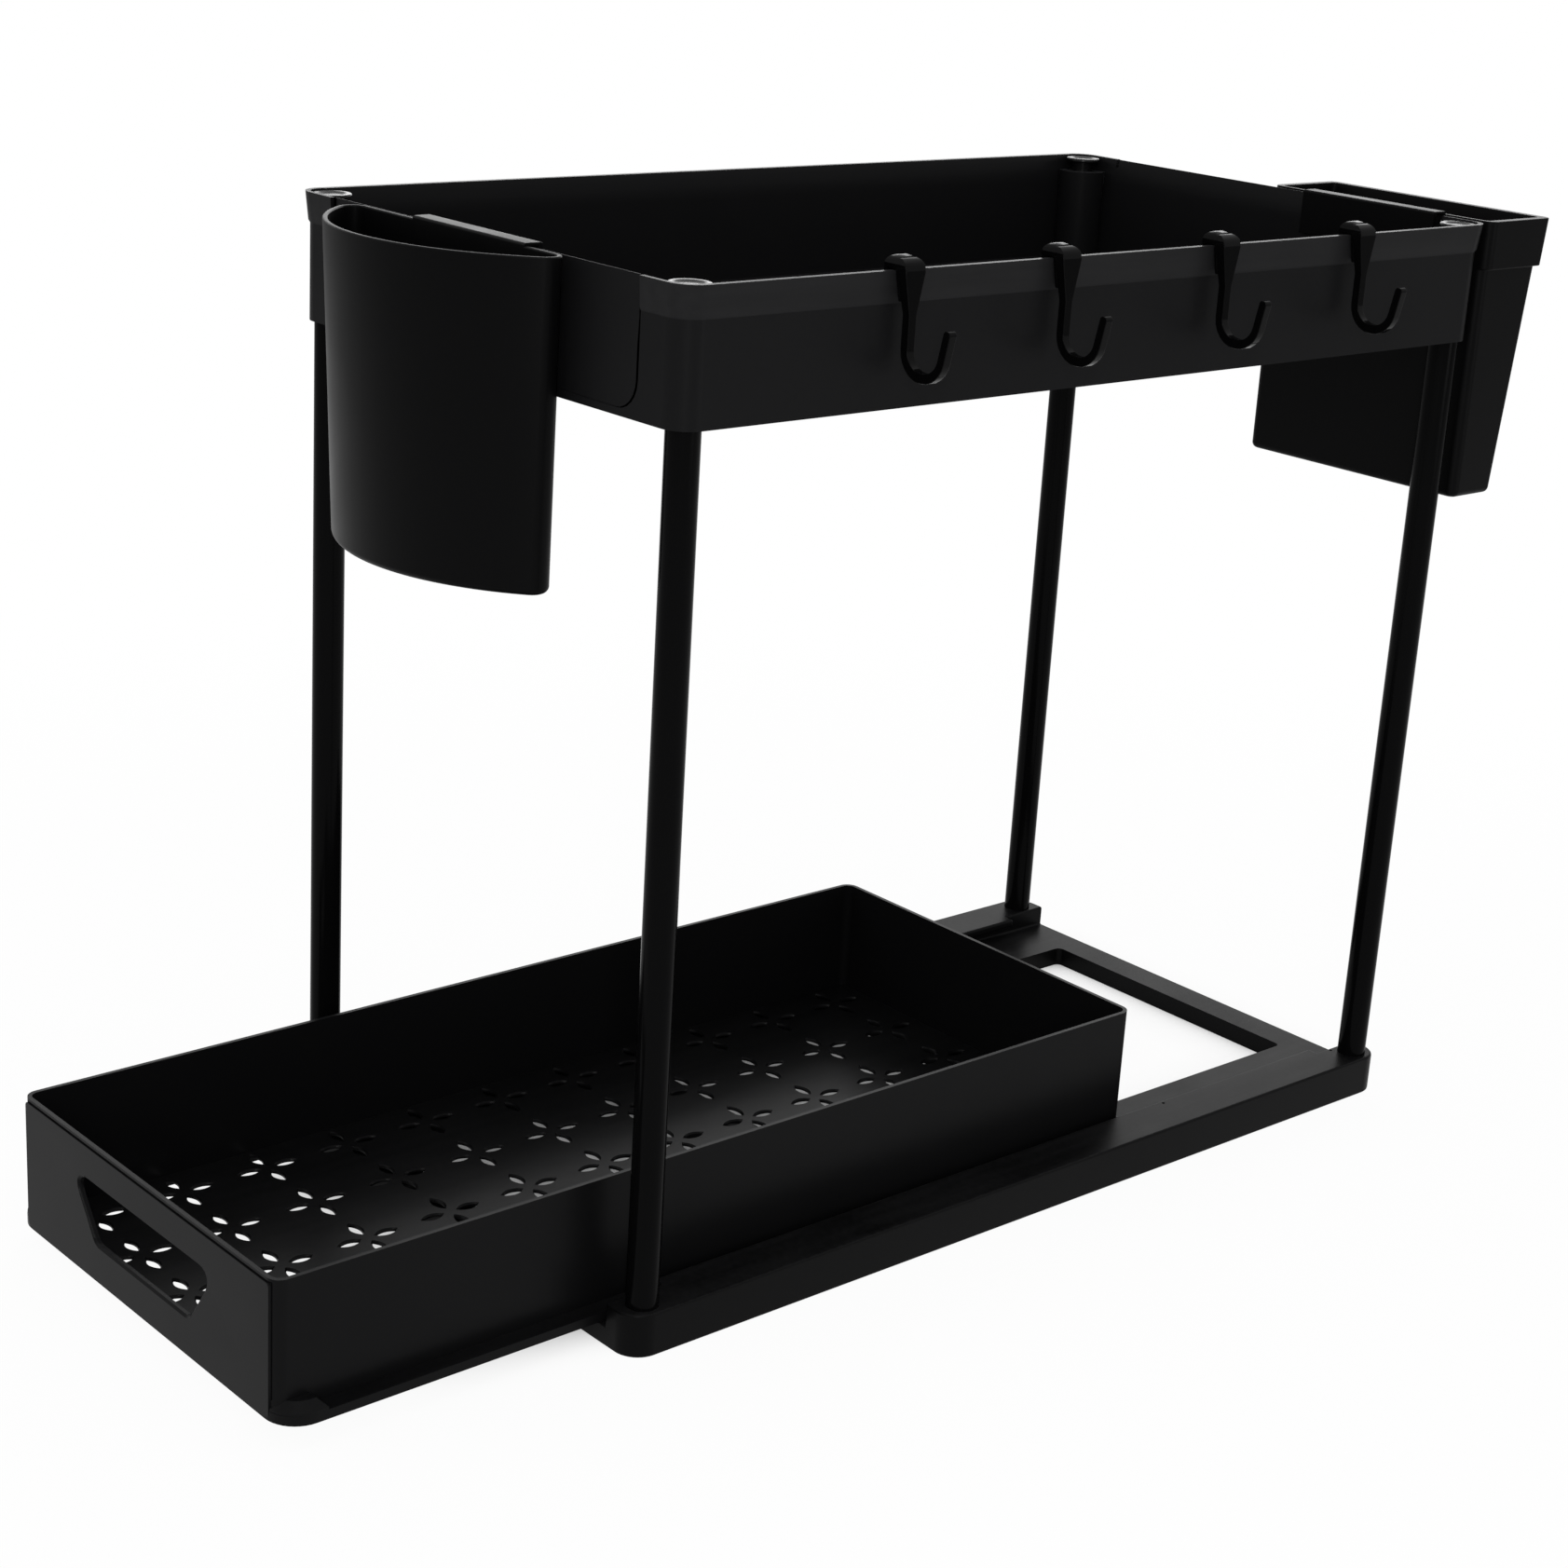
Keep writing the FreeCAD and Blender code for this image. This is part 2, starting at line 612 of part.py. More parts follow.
def make_posts_and_caps():
    """A tube between base and tray at each corner, and the cap pushed into the tray over it."""
    for end_name, end in ENDS.items():
        for side_name, side in SIDES.items():
            x = f"{side} * dims.post_spacing_x / 2"
            y = f"{BASE_MIDDLE} + {end} * dims.post_spacing_y / 2"

            post = new_body(f"post_{end_name}_{side_name}", x, y, "dims.socket_floor")
            section = sketch_on(post, "section", "XY_Plane")
            circle(section, "0", "0", "dims.post_diameter / 2")
            circle(section, "0", "0", "dims.post_diameter / 2 - dims.post_wall")
            pad(post, section, "dims.tray_bottom + dims.column_top - dims.column_shoulder"
                               " - dims.socket_floor")

            cap = new_body(f"cap_{end_name}_{side_name}", x, y,
                           "dims.tray_bottom + dims.column_top")
            profile = sketch_on(cap, "profile", "XZ_Plane")
            top = "dims.cap_neck_height + dims.cap_thickness"
            outline(profile, [
                ("0", "-dims.cap_spigot_length", None),
                ("dims.cap_spigot_diameter / 2", "-dims.cap_spigot_length", None),
                ("dims.cap_spigot_diameter / 2", "0", None),
                ("dims.cap_neck_diameter / 2", "0", None),
                ("dims.cap_neck_diameter / 2", "dims.cap_neck_height", None),
                ("dims.cap_diameter / 2", "dims.cap_neck_height", None),
                ("dims.cap_diameter / 2", top, None),
                ("dims.cap_diameter / 2 - dims.cap_rim", top, None),
                ("dims.cap_diameter / 2 - 2 * dims.cap_rim", f"{top} - dims.cap_dish", None),
                ("0", f"{top} - dims.cap_dish", None),
            ])
            turned = cap.newObject("PartDesign::Revolution", f"{cap.Name}_turned")
            turned.Profile = profile
            turned.ReferenceAxis = (profile, ["V_Axis"])
            turned.setExpression("Angle", "dims.full_turn")


def round_foot(body):
    """Round the edge between a cup's underside and its walls."""
    def is_foot_edge(edge):
        return near(edge.BoundBox.ZMax, "0")

    dress_edges(body, "Fillet", "foot_edge", "Radius", "dims.cup_foot_edge", is_foot_edge)


def add_strap(body, towards_tray, middle_x, width):
    """Strap from a cup's back wall over the tray's end rim, with a leg down inside the tray."""
    strap = sketch_on(body, "strap", "YZ_Plane", middle_x)
    rim_top = f"({RIM_TOP} - dims.cup_bottom)"
    inner_wall = "(dims.cup_back - dims.tray_length / 2 + dims.tray_wall)"
    leg_near = f"{towards_tray} * ({inner_wall} + dims.strap_gap)"
    leg_far = f"{towards_tray} * ({inner_wall} + dims.strap_gap + dims.cup_wall)"
    back_inner = f"{-towards_tray} * dims.cup_wall"
    low = f"{rim_top} + dims.strap_gap"
    high = f"{low} + dims.strap_thickness"
    tip = f"{rim_top} - dims.strap_leg_drop"
    outline(strap, [
        (back_inner, f"{low} - 2 * dims.strap_thickness", None),
        (back_inner, high, "dims.strap_corner"),
        (leg_far, high, "dims.strap_corner"),
        (leg_far, tip, None),
        (leg_near, tip, None),
        (leg_near, low, None),
        ("0", low, None),
        ("0", f"{low} - 2 * dims.strap_thickness", None),
    ])
    pad(body, strap, width, symmetric=True)


def bowed_outline(sketch, half_width, depth, inset):
    """D shape: a flat back along X, a bowed front and a rounded corner at each end."""
    corner = f"(dims.front_cup_corner - {inset})"
    reach = f"({half_width} - {inset})"
    front = f"({depth} - {inset})"
    back, tip, radius = -value(inset), -value(front), value(corner)
    corner_x = value(f"{reach} - {corner}")
    # Radius of the bow that touches both corner arcs and the foremost point
    rise = back - radius - tip
    bow = (corner_x ** 2 + rise ** 2 - radius ** 2) / (2 * (rise - radius))
    bow_centre = Vector(0, tip + bow, 0)
    right, left = Vector(corner_x, back - radius, 0), Vector(-corner_x, back - radius, 0)
    touch_right = bow_centre + (right - bow_centre).normalize() * bow
    touch_left = bow_centre + (left - bow_centre).normalize() * bow
    back_right, back_left = Vector(corner_x, back, 0), Vector(-corner_x, back, 0)

    bowed = sketch.addGeometry(arc_between(bow_centre, touch_left, touch_right))
    right_arc = sketch.addGeometry(arc_between(right, touch_right, back_right))
    flat = sketch.addGeometry(Part.LineSegment(back_right, back_left))
    left_arc = sketch.addGeometry(arc_between(left, back_left, touch_left))
    foremost = sketch.addGeometry(Part.Point(Vector(0, tip, 0)), True)
    constrain(sketch, "Tangent", bowed, END, right_arc, START)
    constrain(sketch, "Tangent", right_arc, END, flat, START)
    constrain(sketch, "Tangent", flat, END, left_arc, START)
    constrain(sketch, "Tangent", left_arc, END, bowed, START)
    constrain(sketch, "PointOnObject", foremost, START, bowed)
    tie_point(sketch, foremost, START, "0", f"-{front}")
    for arc, sign in ((right_arc, 1), (left_arc, -1)):
        constrain(sketch, "Radius", arc, expression=corner)
        tie_point(sketch, arc, CENTRE, f"{sign} * ({reach} - {corner})", f"-({inset}) - {corner}")


def make_front_cup():
    """Hanging cup with a flat back and a bowed front that leans in towards the foot."""
    body = new_body("front_cup", "dims.front_cup_x", f"{BASE_MIDDLE} - dims.cup_back",
                    "dims.cup_bottom")
    half_mouth = "dims.front_cup_width / 2"
    half_foot = "dims.front_cup_foot_width / 2"
    foot = sketch_on(body, "foot", "XY_Plane")
    bowed_outline(foot, half_foot, "dims.front_cup_foot_depth", "0")
    mouth = sketch_on(body, "mouth", "XY_Plane", "dims.cup_height")
    bowed_outline(mouth, half_mouth, "dims.front_cup_depth", "0")
    loft(body, "Additive", foot, mouth)
    floor = sketch_on(body, "floor", "XY_Plane", "dims.cup_floor")
    bowed_outline(floor, half_foot, "dims.front_cup_foot_depth", "dims.cup_wall")
    brim = sketch_on(body, "brim", "XY_Plane", "dims.cup_height")
    bowed_outline(brim, half_mouth, "dims.front_cup_depth", "dims.cup_wall")
    loft(body, "Subtractive", floor, brim)
    round_foot(body)
    add_strap(body, 1, "dims.front_strap_x", "dims.front_strap_width")


def make_back_cup():
    """Box cup with a far wall that leans in towards the foot and a collar below its rim."""
    body = new_body("back_cup", "dims.back_cup_x", f"{BASE_MIDDLE} + dims.cup_back",
                    "dims.cup_bottom")
    collar_bottom = "(dims.cup_height - dims.collar_height)"
    half_collar = "dims.back_cup_width / 2"
    half_wall = f"({half_collar} - dims.collar_proud)"
    wall_depth = "(dims.back_cup_depth - dims.collar_proud)"
    lean = f"(({wall_depth} - dims.back_cup_foot_depth) / dims.cup_height)"

    def section(name, height, half, far, inset):
        sketch = sketch_on(body, name, "XY_Plane", height)
        rectangle(sketch, f"-({half} - {inset})", f"{half} - {inset}", inset, f"{far} - {inset}",
                  f"dims.back_cup_near_corner - {inset}",
                  f"dims.back_cup_far_corner - {inset} / 2")
        return sketch

    foot = section("foot", "0", half_wall, "dims.back_cup_foot_depth", "0")
    shoulder = section("shoulder", collar_bottom, half_wall,
                       f"dims.back_cup_foot_depth + {lean} * {collar_bottom}", "0")
    loft(body, "Additive", foot, shoulder)
    collar_low = section("collar_low", collar_bottom, half_collar,
                         f"dims.back_cup_depth - {lean} * dims.collar_height", "0")
    collar_high = section("collar_high", "dims.cup_height", half_collar, "dims.back_cup_depth", "0")
    loft(body, "Additive", collar_low, collar_high)
    floor = section("floor", "dims.cup_floor", half_wall, "dims.back_cup_foot_depth",
                    "dims.cup_wall")
    brim = section("brim", "dims.cup_height", half_wall, wall_depth, "dims.cup_wall")
    loft(body, "Subtractive", floor, brim)
    round_foot(body)
    add_strap(body, -1, "dims.back_strap_x", "dims.back_strap_width")


def make_hook(label):
    """Clip over the tray's side rim whose strap tapers down into an upturned hook."""
    body = new_body(label, "dims.tray_width / 2 + dims.band_flare_x",
                    f"{BASE_MIDDLE} + dims.{label}_y", RIM_TOP)

    clip = sketch_on(body, "clip", "XZ_Plane")
    inner_face = "-dims.clip_reach - dims.clip_inner_plate"
    outer_face = "dims.hook_gap + dims.clip_plate"
    outline(clip, [
        ("dims.hook_gap", "-dims.clip_outer_drop", None),
        (outer_face, "-dims.clip_outer_drop", None),
        (outer_face, "dims.clip_crown", "dims.clip_crown_radius"),
        (inner_face, "dims.clip_crown", "dims.clip_crown_radius"),
        (inner_face, "-dims.clip_inner_drop", None),
        ("-dims.clip_reach", "-dims.clip_inner_drop", None),
        ("-dims.clip_reach", "dims.hook_gap", "dims.clip_notch_radius"),
        ("dims.hook_gap", "dims.hook_gap", "dims.clip_notch_radius"),
    ])
    pad(body, clip, "dims.clip_width", symmetric=True)

    strap = sketch_on(body, "strap", "XZ_Plane")
    back = "dims.hook_front - dims.hook_rod"
    slope = "(dims.hook_lean / (dims.hook_drop - dims.hook_tip_drop))"
    far_outer = "dims.hook_reach - dims.hook_lean"
    far_inner = f"{far_outer} + {slope} * dims.hook_rod - dims.hook_rod"
    outer_bend = "dims.hook_bend + dims.hook_rod"
    outline(strap, [
        ("dims.hook_gap + dims.clip_plate / 2", "dims.hook_strap_crown", None),
        ("dims.hook_gap + dims.clip_plate / 2", "-dims.hook_taper_top", None),
        (back, "-dims.hook_taper_bottom + dims.hook_taper_top", None),
        (back, "-dims.hook_drop", outer_bend),
        (far_outer, "-dims.hook_drop", outer_bend),
        ("dims.hook_reach", "-dims.hook_tip_drop", "dims.hook_tip_corner"),
        ("dims.hook_reach - dims.hook_rod", "-dims.hook_tip_drop", "dims.hook_tip_corner"),
        (far_inner, "-dims.hook_drop + dims.hook_rod", "dims.hook_bend"),
        ("dims.hook_front", "-dims.hook_drop + dims.hook_rod", "dims.hook_bend"),
        ("dims.hook_front", "dims.hook_strap_crown", "dims.hook_strap_crown"),
    ])
    pad(body, strap, "dims.clip_width", symmetric=True)

    shoulders = sketch_on(body, "shoulders", "YZ_Plane", "dims.hook_front + dims.overlap")
    taper = sketch_on(body, "taper", "YZ_Plane")
    for side in SIDES.values():
        edge = f"{side} * dims.clip_width / 2"
        slim = f"{side} * dims.hook_tip_width / 2"
        beyond = f"{side} * (dims.clip_width / 2 + dims.overlap)"
        within = f"{side} * (dims.clip_width / 2 - dims.clip_corner - dims.overlap)"
        below = "dims.clip_crown - dims.clip_corner - dims.overlap"
        outline(shoulders, [
            (within, "dims.clip_crown", None),
            (within, "dims.clip_crown + dims.overlap", None),
            (beyond, "dims.clip_crown + dims.overlap", None),
            (beyond, below, None),
            (edge, below, None),
            (edge, "dims.clip_crown", "dims.clip_corner"),
        ])
        outline(taper, [
            (edge, "-dims.hook_taper_top", None),
            (slim, "-dims.hook_taper_bottom", None),
            (slim, "-dims.hook_drop - dims.overlap", None),
            (beyond, "-dims.hook_drop - dims.overlap", None),
            (beyond, "-dims.hook_taper_top", None),
        ])
    pocket(body, shoulders, "dims.hook_front + dims.clip_reach + dims.clip_inner_plate"
                            " + 2 * dims.overlap")
    pocket(body, taper, "dims.hook_reach + dims.overlap", along_normal=True)


make_base_frame()
make_drawer()
make_tray()
make_posts_and_caps()
make_front_cup()
make_back_cup()
for hook_label in HOOKS:
    make_hook(hook_label)
doc.recompute()

for item in doc.Objects:
    if {"Invalid", "Error"} & set(item.State):
        raise RuntimeError(f"{item.Label} did not build: {item.State}")
for cut in cuts:
    if not cut.Shape.Volume < cut.BaseFeature.Shape.Volume:
        raise RuntimeError(f"{cut.Label} removes nothing")
for piece in pieces:
    if piece.Shape.isNull() or not piece.Shape.isValid() or len(piece.Shape.Solids) != 1:
        raise RuntimeError(f"{piece.Label} is not one valid solid")

os.makedirs("parts", exist_ok=True)
for piece in pieces:
    piece.Shape.exportStep(f"parts/{piece.Label}.step")
    print(f"{piece.Label}: {piece.Shape.Volume / 1000:.1f} cm3")
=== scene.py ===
import math

import bmesh
import bpy
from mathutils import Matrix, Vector


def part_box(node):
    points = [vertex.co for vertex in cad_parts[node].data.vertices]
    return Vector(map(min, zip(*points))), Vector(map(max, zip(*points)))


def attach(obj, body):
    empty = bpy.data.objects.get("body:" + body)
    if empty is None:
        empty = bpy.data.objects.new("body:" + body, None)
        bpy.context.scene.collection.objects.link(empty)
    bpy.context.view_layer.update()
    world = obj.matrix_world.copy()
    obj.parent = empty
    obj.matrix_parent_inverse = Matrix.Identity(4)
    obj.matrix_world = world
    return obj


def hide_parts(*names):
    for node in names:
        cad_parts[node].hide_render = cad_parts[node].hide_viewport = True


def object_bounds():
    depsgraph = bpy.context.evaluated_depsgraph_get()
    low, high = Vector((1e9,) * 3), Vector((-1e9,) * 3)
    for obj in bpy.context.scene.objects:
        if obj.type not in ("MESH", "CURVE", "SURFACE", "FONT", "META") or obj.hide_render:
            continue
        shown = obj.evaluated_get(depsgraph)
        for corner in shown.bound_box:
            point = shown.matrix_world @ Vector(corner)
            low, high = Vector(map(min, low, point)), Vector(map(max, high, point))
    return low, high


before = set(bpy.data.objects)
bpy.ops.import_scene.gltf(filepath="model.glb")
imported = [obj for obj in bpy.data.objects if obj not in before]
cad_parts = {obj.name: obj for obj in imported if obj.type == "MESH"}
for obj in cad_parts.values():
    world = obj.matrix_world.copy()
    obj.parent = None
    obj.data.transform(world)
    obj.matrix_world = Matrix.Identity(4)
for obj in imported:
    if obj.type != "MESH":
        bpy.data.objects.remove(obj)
cad_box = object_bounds()

# Camera
# The organizer stands about a metre away and is seen from above its hook side and drawer front,
# through a short telephoto lens.
scene = bpy.context.scene
scene.view_settings.view_transform = "Standard"
lens = bpy.data.cameras.new("camera")
lens.sensor_width = 36.0
lens.lens = 67.25
camera = bpy.data.objects.new("camera", lens)
camera.location = (0.79060, -0.56622, 0.50828)
camera.rotation_euler = [math.radians(turn) for turn in (71.346, -3.2946, 49.195)]
scene.collection.objects.link(camera)
scene.camera = camera


# Studio
# White paper floor that shades under the drawer, in white surroundings. Soft lamps stand in front,
# above, behind and on the hook side, and a narrow one by the camera draws light lines on black edges.
class Wire:
    """One output in a node tree. Sums and products with wires or numbers add Math nodes."""

    def __init__(self, tree, socket=None):
        self.tree = tree
        self.socket = socket

    def node(self, kind, settings=None, inputs=None, output=0):
        """Add a node, apply its settings, then its socket values or links, and return an output."""
        made = self.tree.nodes.new("ShaderNode" + kind)
        for name, value in (settings or {}).items():
            setattr(made, name, value)
        for name, value in (inputs or {}).items():
            if isinstance(value, Wire):
                self.tree.links.new(value.socket, made.inputs[name])
            else:
                made.inputs[name].default_value = value
        return Wire(self.tree, made.outputs[output] if made.outputs else None)

    def math(self, operation, first, second):
        """Add a Math node on two values."""
        return self.node("Math", {"operation": operation}, {0: first, 1: second})

    def __add__(self, other):
        return self.math("ADD", self, other)

    def __sub__(self, other):
        return self.math("SUBTRACT", self, other)

    def __rsub__(self, other):
        return self.math("SUBTRACT", other, self)

    def __mul__(self, other):
        return self.math("MULTIPLY", self, other)

    __radd__ = __add__
    __rmul__ = __mul__


def seen_ray(pen):
    """1 for rays that show a picture of what they hit: seen, mirrored or seen through."""
    seen = pen.node("LightPath", output="Is Camera Ray")
    mirrored = pen.node("LightPath", output="Is Glossy Ray")
    through = pen.node("LightPath", output="Is Transmission Ray")
    return pen.math("MAXIMUM", seen, pen.math("MAXIMUM", mirrored, through))


def blank(owner):
    """Clear the nodes of a material or a world and return a wire to add new ones."""
    owner.use_nodes = True
    owner.node_tree.nodes.clear()
    return Wire(owner.node_tree)


def ramp(pen, value, start, end, change="SMOOTHSTEP"):
    """0 below a start and 1 above an end, with a soft or straight change between them."""
    return pen.node("MapRange", {"interpolation_type": change},
                    {"Value": value, "From Min": start, "From Max": end})


def coordinate(pen, vector, axis):
    """One coordinate of a place or a direction."""
    return pen.node("SeparateXYZ", inputs={0: vector}, output=axis)


WHITE = (1.0, 1.0, 1.0, 1.0)
room_glow = 0.62
surroundings = bpy.data.worlds.new("surroundings")
pen = blank(surroundings)
surroundings.cycles.sampling_method = "NONE"
glow = pen.node("Background", inputs={"Color": WHITE, "Strength": room_glow})
white = pen.node("Background", inputs={"Color": WHITE, "Strength": 1.0})
pen.node("OutputWorld", inputs={
    "Surface": pen.node("MixShader", inputs={0: seen_ray(pen), 1: glow, 2: white})})
scene.world = surroundings

MM = 0.001
floor_size, floor_gap = 24.0, 0.2 * MM
paper_white = (0.93, 0.93, 0.93, 1.0)
sweep_near, sweep_far, sweep_dim = 0.9, 2.4, 0.65
shadow_near, shadow_far, shadow_share = 0.45, 0.85, 0.05
shade_front, shade_left, shade_right = (-0.24, -0.10), (-0.12, -0.09), (0.06, 0.09)
shade_height, shade_rays, shade_share = 0.03, 3, 0.9

floor_white = bpy.data.materials.new("floor_white")
pen = blank(floor_white)
place = pen.node("TexCoord", output="Object")
across = coordinate(pen, place, "X")
lengthways = coordinate(pen, place, "Y")
from_middle = pen.node("VectorMath", {"operation": "LENGTH"}, {0: place}, output="Value")
near = 1.0 - ramp(pen, from_middle, shadow_near, shadow_far)
open_sky = pen.node("AmbientOcclusion", {"samples": shade_rays}, {"Distance": shade_height},
                    output="AO")
under_drawer = (ramp(pen, lengthways, *shade_front) * ramp(pen, across, *shade_left)
                * (1.0 - ramp(pen, across, *shade_right)) * (1.0 - open_sky))
paper = pen.node("BsdfDiffuse", inputs={"Color": paper_white})
mirrored = pen.node("LightPath", output="Is Glossy Ray")
dimmer = sweep_dim * ramp(pen, from_middle, sweep_near, sweep_far) * mirrored
sweep = pen.node("Emission", inputs={"Color": 1.0 - dimmer, "Strength": 1.0})
bright = 1.0 - shadow_share * near - shade_share * under_drawer
pen.node("OutputMaterial", inputs={
    "Surface": pen.node("MixShader", inputs={0: bright * seen_ray(pen), 1: paper, 2: sweep})})

stand_middle = (cad_box[0] + cad_box[1]) / 2
bpy.ops.mesh.primitive_plane_add(size=floor_size,
                                 location=(stand_middle.x, stand_middle.y, -floor_gap))
studio_floor = bpy.context.object
studio_floor.name = "studio_floor"
studio_floor.data.materials.append(floor_white)


def lamp(name, place, width, height, watts):
    """A soft rectangular lamp aimed at the middle of the organizer."""
    light = bpy.data.lights.new(name, "AREA")
    light.shape = "RECTANGLE"
    light.size, light.size_y = width, height
    light.energy = watts
    holder = bpy.data.objects.new(name, light)
    holder.location = place
    holder.rotation_euler = (stand_middle - Vector(place)).to_track_quat("-Z", "Y").to_euler()
    scene.collection.objects.link(holder)


lamp("front_lamp", (-0.75, -1.45, 0.95), 0.8, 0.8, 2.5)
lamp("top_lamp", (0.1, 0.35, 1.75), 0.9, 1.2, 5.0)
lamp("back_lamp", (-1.3, 1.25, 0.72), 1.6, 0.5, 5.0)
lamp("hook_lamp", (1.5, 0.65, 0.22), 0.5, 0.35, 1.5)
lamp("near_lamp", (0.98, -0.68, 0.62), 0.10, 0.7, 4.5)

# Base frame
# Flat ring of black polypropylene with two cross bars, moulded in one shot. Its raised side rails
# turn in to lips that hold the drawer down, and each corner has a socket for a post.
TINY = 0.02 * MM  # a distance that counts as none
OVER = 2.0 * MM  # how far a tool passes what it cuts
NEARLY = 0.9  # the share of a direction that counts as along an axis


def pick(kind, wanted):
    """Select the verts, edges or faces whose middle and direction pass a test."""
    bpy.ops.mesh.select_mode(type=kind)
    bpy.ops.mesh.select_all(action="DESELECT")
    mesh = bmesh.from_edit_mesh(bpy.context.object.data)
    if kind == "VERT":
        items = [(vert, vert.co, vert.normal) for vert in mesh.verts]
    elif kind == "EDGE":
        items = [(edge, (edge.verts[0].co + edge.verts[1].co) / 2,
                  (edge.verts[1].co - edge.verts[0].co).normalized()) for edge in mesh.edges]
    else:
        items = [(face, face.calc_center_median(), face.normal) for face in mesh.faces]
    for item, middle, direction in items:
        item.select_set(bool(wanted(middle, direction)))
    mesh.select_flush_mode()
    bmesh.update_edit_mesh(bpy.context.object.data)


def fresh():
    """Leave the piece in hand and deselect everything before a new one."""
    if bpy.context.mode != "OBJECT":
        bpy.ops.object.mode_set(mode="OBJECT")
    bpy.ops.object.select_all(action="DESELECT")


def block(name, low, high):
    """A box between two corners, open for editing."""
    low, high = Vector(low), Vector(high)
    fresh()
    bpy.ops.mesh.primitive_cube_add(size=1.0, enter_editmode=True, location=(0.0, 0.0, 0.0))
    bpy.ops.transform.resize(value=high - low)
    bpy.ops.transform.translate(value=(low + high) / 2)
    bpy.context.object.name = name
    return bpy.context.object


def rounded_block(name, low, high, radius, steps=8):
    """A box with rounded upright edges, open for editing."""
    piece = block(name, low, high)
    pick("EDGE", lambda middle, along: abs(along.z) > NEARLY)
    bpy.ops.mesh.bevel(offset=radius, segments=steps, affect="EDGES")
    return piece


def rod(name, middle, radius, low_z, high_z, sides=48):
    """An upright cylinder, open for editing."""
    fresh()
    bpy.ops.mesh.primitive_cylinder_add(vertices=sides, radius=radius, depth=high_z - low_z,
                                        enter_editmode=True, location=(0.0, 0.0, 0.0))
    bpy.ops.transform.translate(value=(middle.x, middle.y, (low_z + high_z) / 2))
    bpy.context.object.name = name
    return bpy.context.object


def slice_at(point, normal):
    """Cut new edges where a plane crosses the mesh in hand."""
    bpy.ops.mesh.select_all(action="SELECT")
    bpy.ops.mesh.bisect(plane_co=point, plane_no=normal)


def slice_level(height):
    """Cut new edges at a height."""
    slice_at((0.0, 0.0, height), (0.0, 0.0, 1.0))


def pull(x, y, z):
    """Extrude the selected faces by a move."""
    bpy.ops.mesh.extrude_region_move(TRANSFORM_OT_translate={"value": (x, y, z)})


def swell(distance):
    """Extrude the selected faces along their normals."""
    bpy.ops.mesh.extrude_region_shrink_fatten(TRANSFORM_OT_shrink_fatten={"value": distance})


def close_up(piece):
    """Leave editing with flats merged, and with the piece as the active object."""
    if bpy.context.mode != "OBJECT":
        bpy.ops.mesh.select_mode(type="FACE")
        bpy.ops.mesh.select_all(action="SELECT")
        bpy.ops.mesh.remove_doubles(threshold=TINY / 10)
        bpy.ops.mesh.normals_make_consistent(inside=False)
        bpy.ops.mesh.dissolve_limited(angle_limit=math.radians(0.5))
        bpy.ops.object.mode_set(mode="OBJECT")
    bpy.ops.object.select_all(action="DESELECT")
    piece.select_set(True)
    bpy.context.view_layer.objects.active = piece


def combine(piece, tool, operation):
    """Cut, join or overlap a piece with a tool body, which is used up."""
    close_up(tool)
    close_up(piece)
    change = piece.modifiers.new("combine", "BOOLEAN")
    change.object = tool
    change.operation = operation
    change.solver = "MANIFOLD"
    bpy.ops.object.modifier_apply(modifier=change.name)
    bpy.data.objects.remove(tool)


def soften(piece, width, steps, angle=38.0):
    """Round every edge sharper than an angle."""
    close_up(piece)
    rounding = piece.modifiers.new("rounding", "BEVEL")
    rounding.width = width
    rounding.segments = steps
    rounding.limit_method = "ANGLE"
    rounding.angle_limit = math.radians(angle)
    bpy.ops.object.modifier_apply(modifier=rounding.name)


def settle(piece, finish, body, node):
    """Shade round forms smooth and flats flat, then give the piece its finish and its place."""
    close_up(piece)
    bpy.ops.object.shade_smooth_by_angle(angle=math.radians(40.0))
    flats = piece.modifiers.new("flats", "WEIGHTED_NORMAL")
    flats.keep_sharp = True
    bpy.ops.object.modifier_apply(modifier=flats.name)
    piece.data.name = piece.name
    piece.data.materials.clear()
    piece.data.materials.append(finish)
    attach(piece, body)
    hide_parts(node)


OUT_OF_REACH = 9.0  # metres up, above every piece


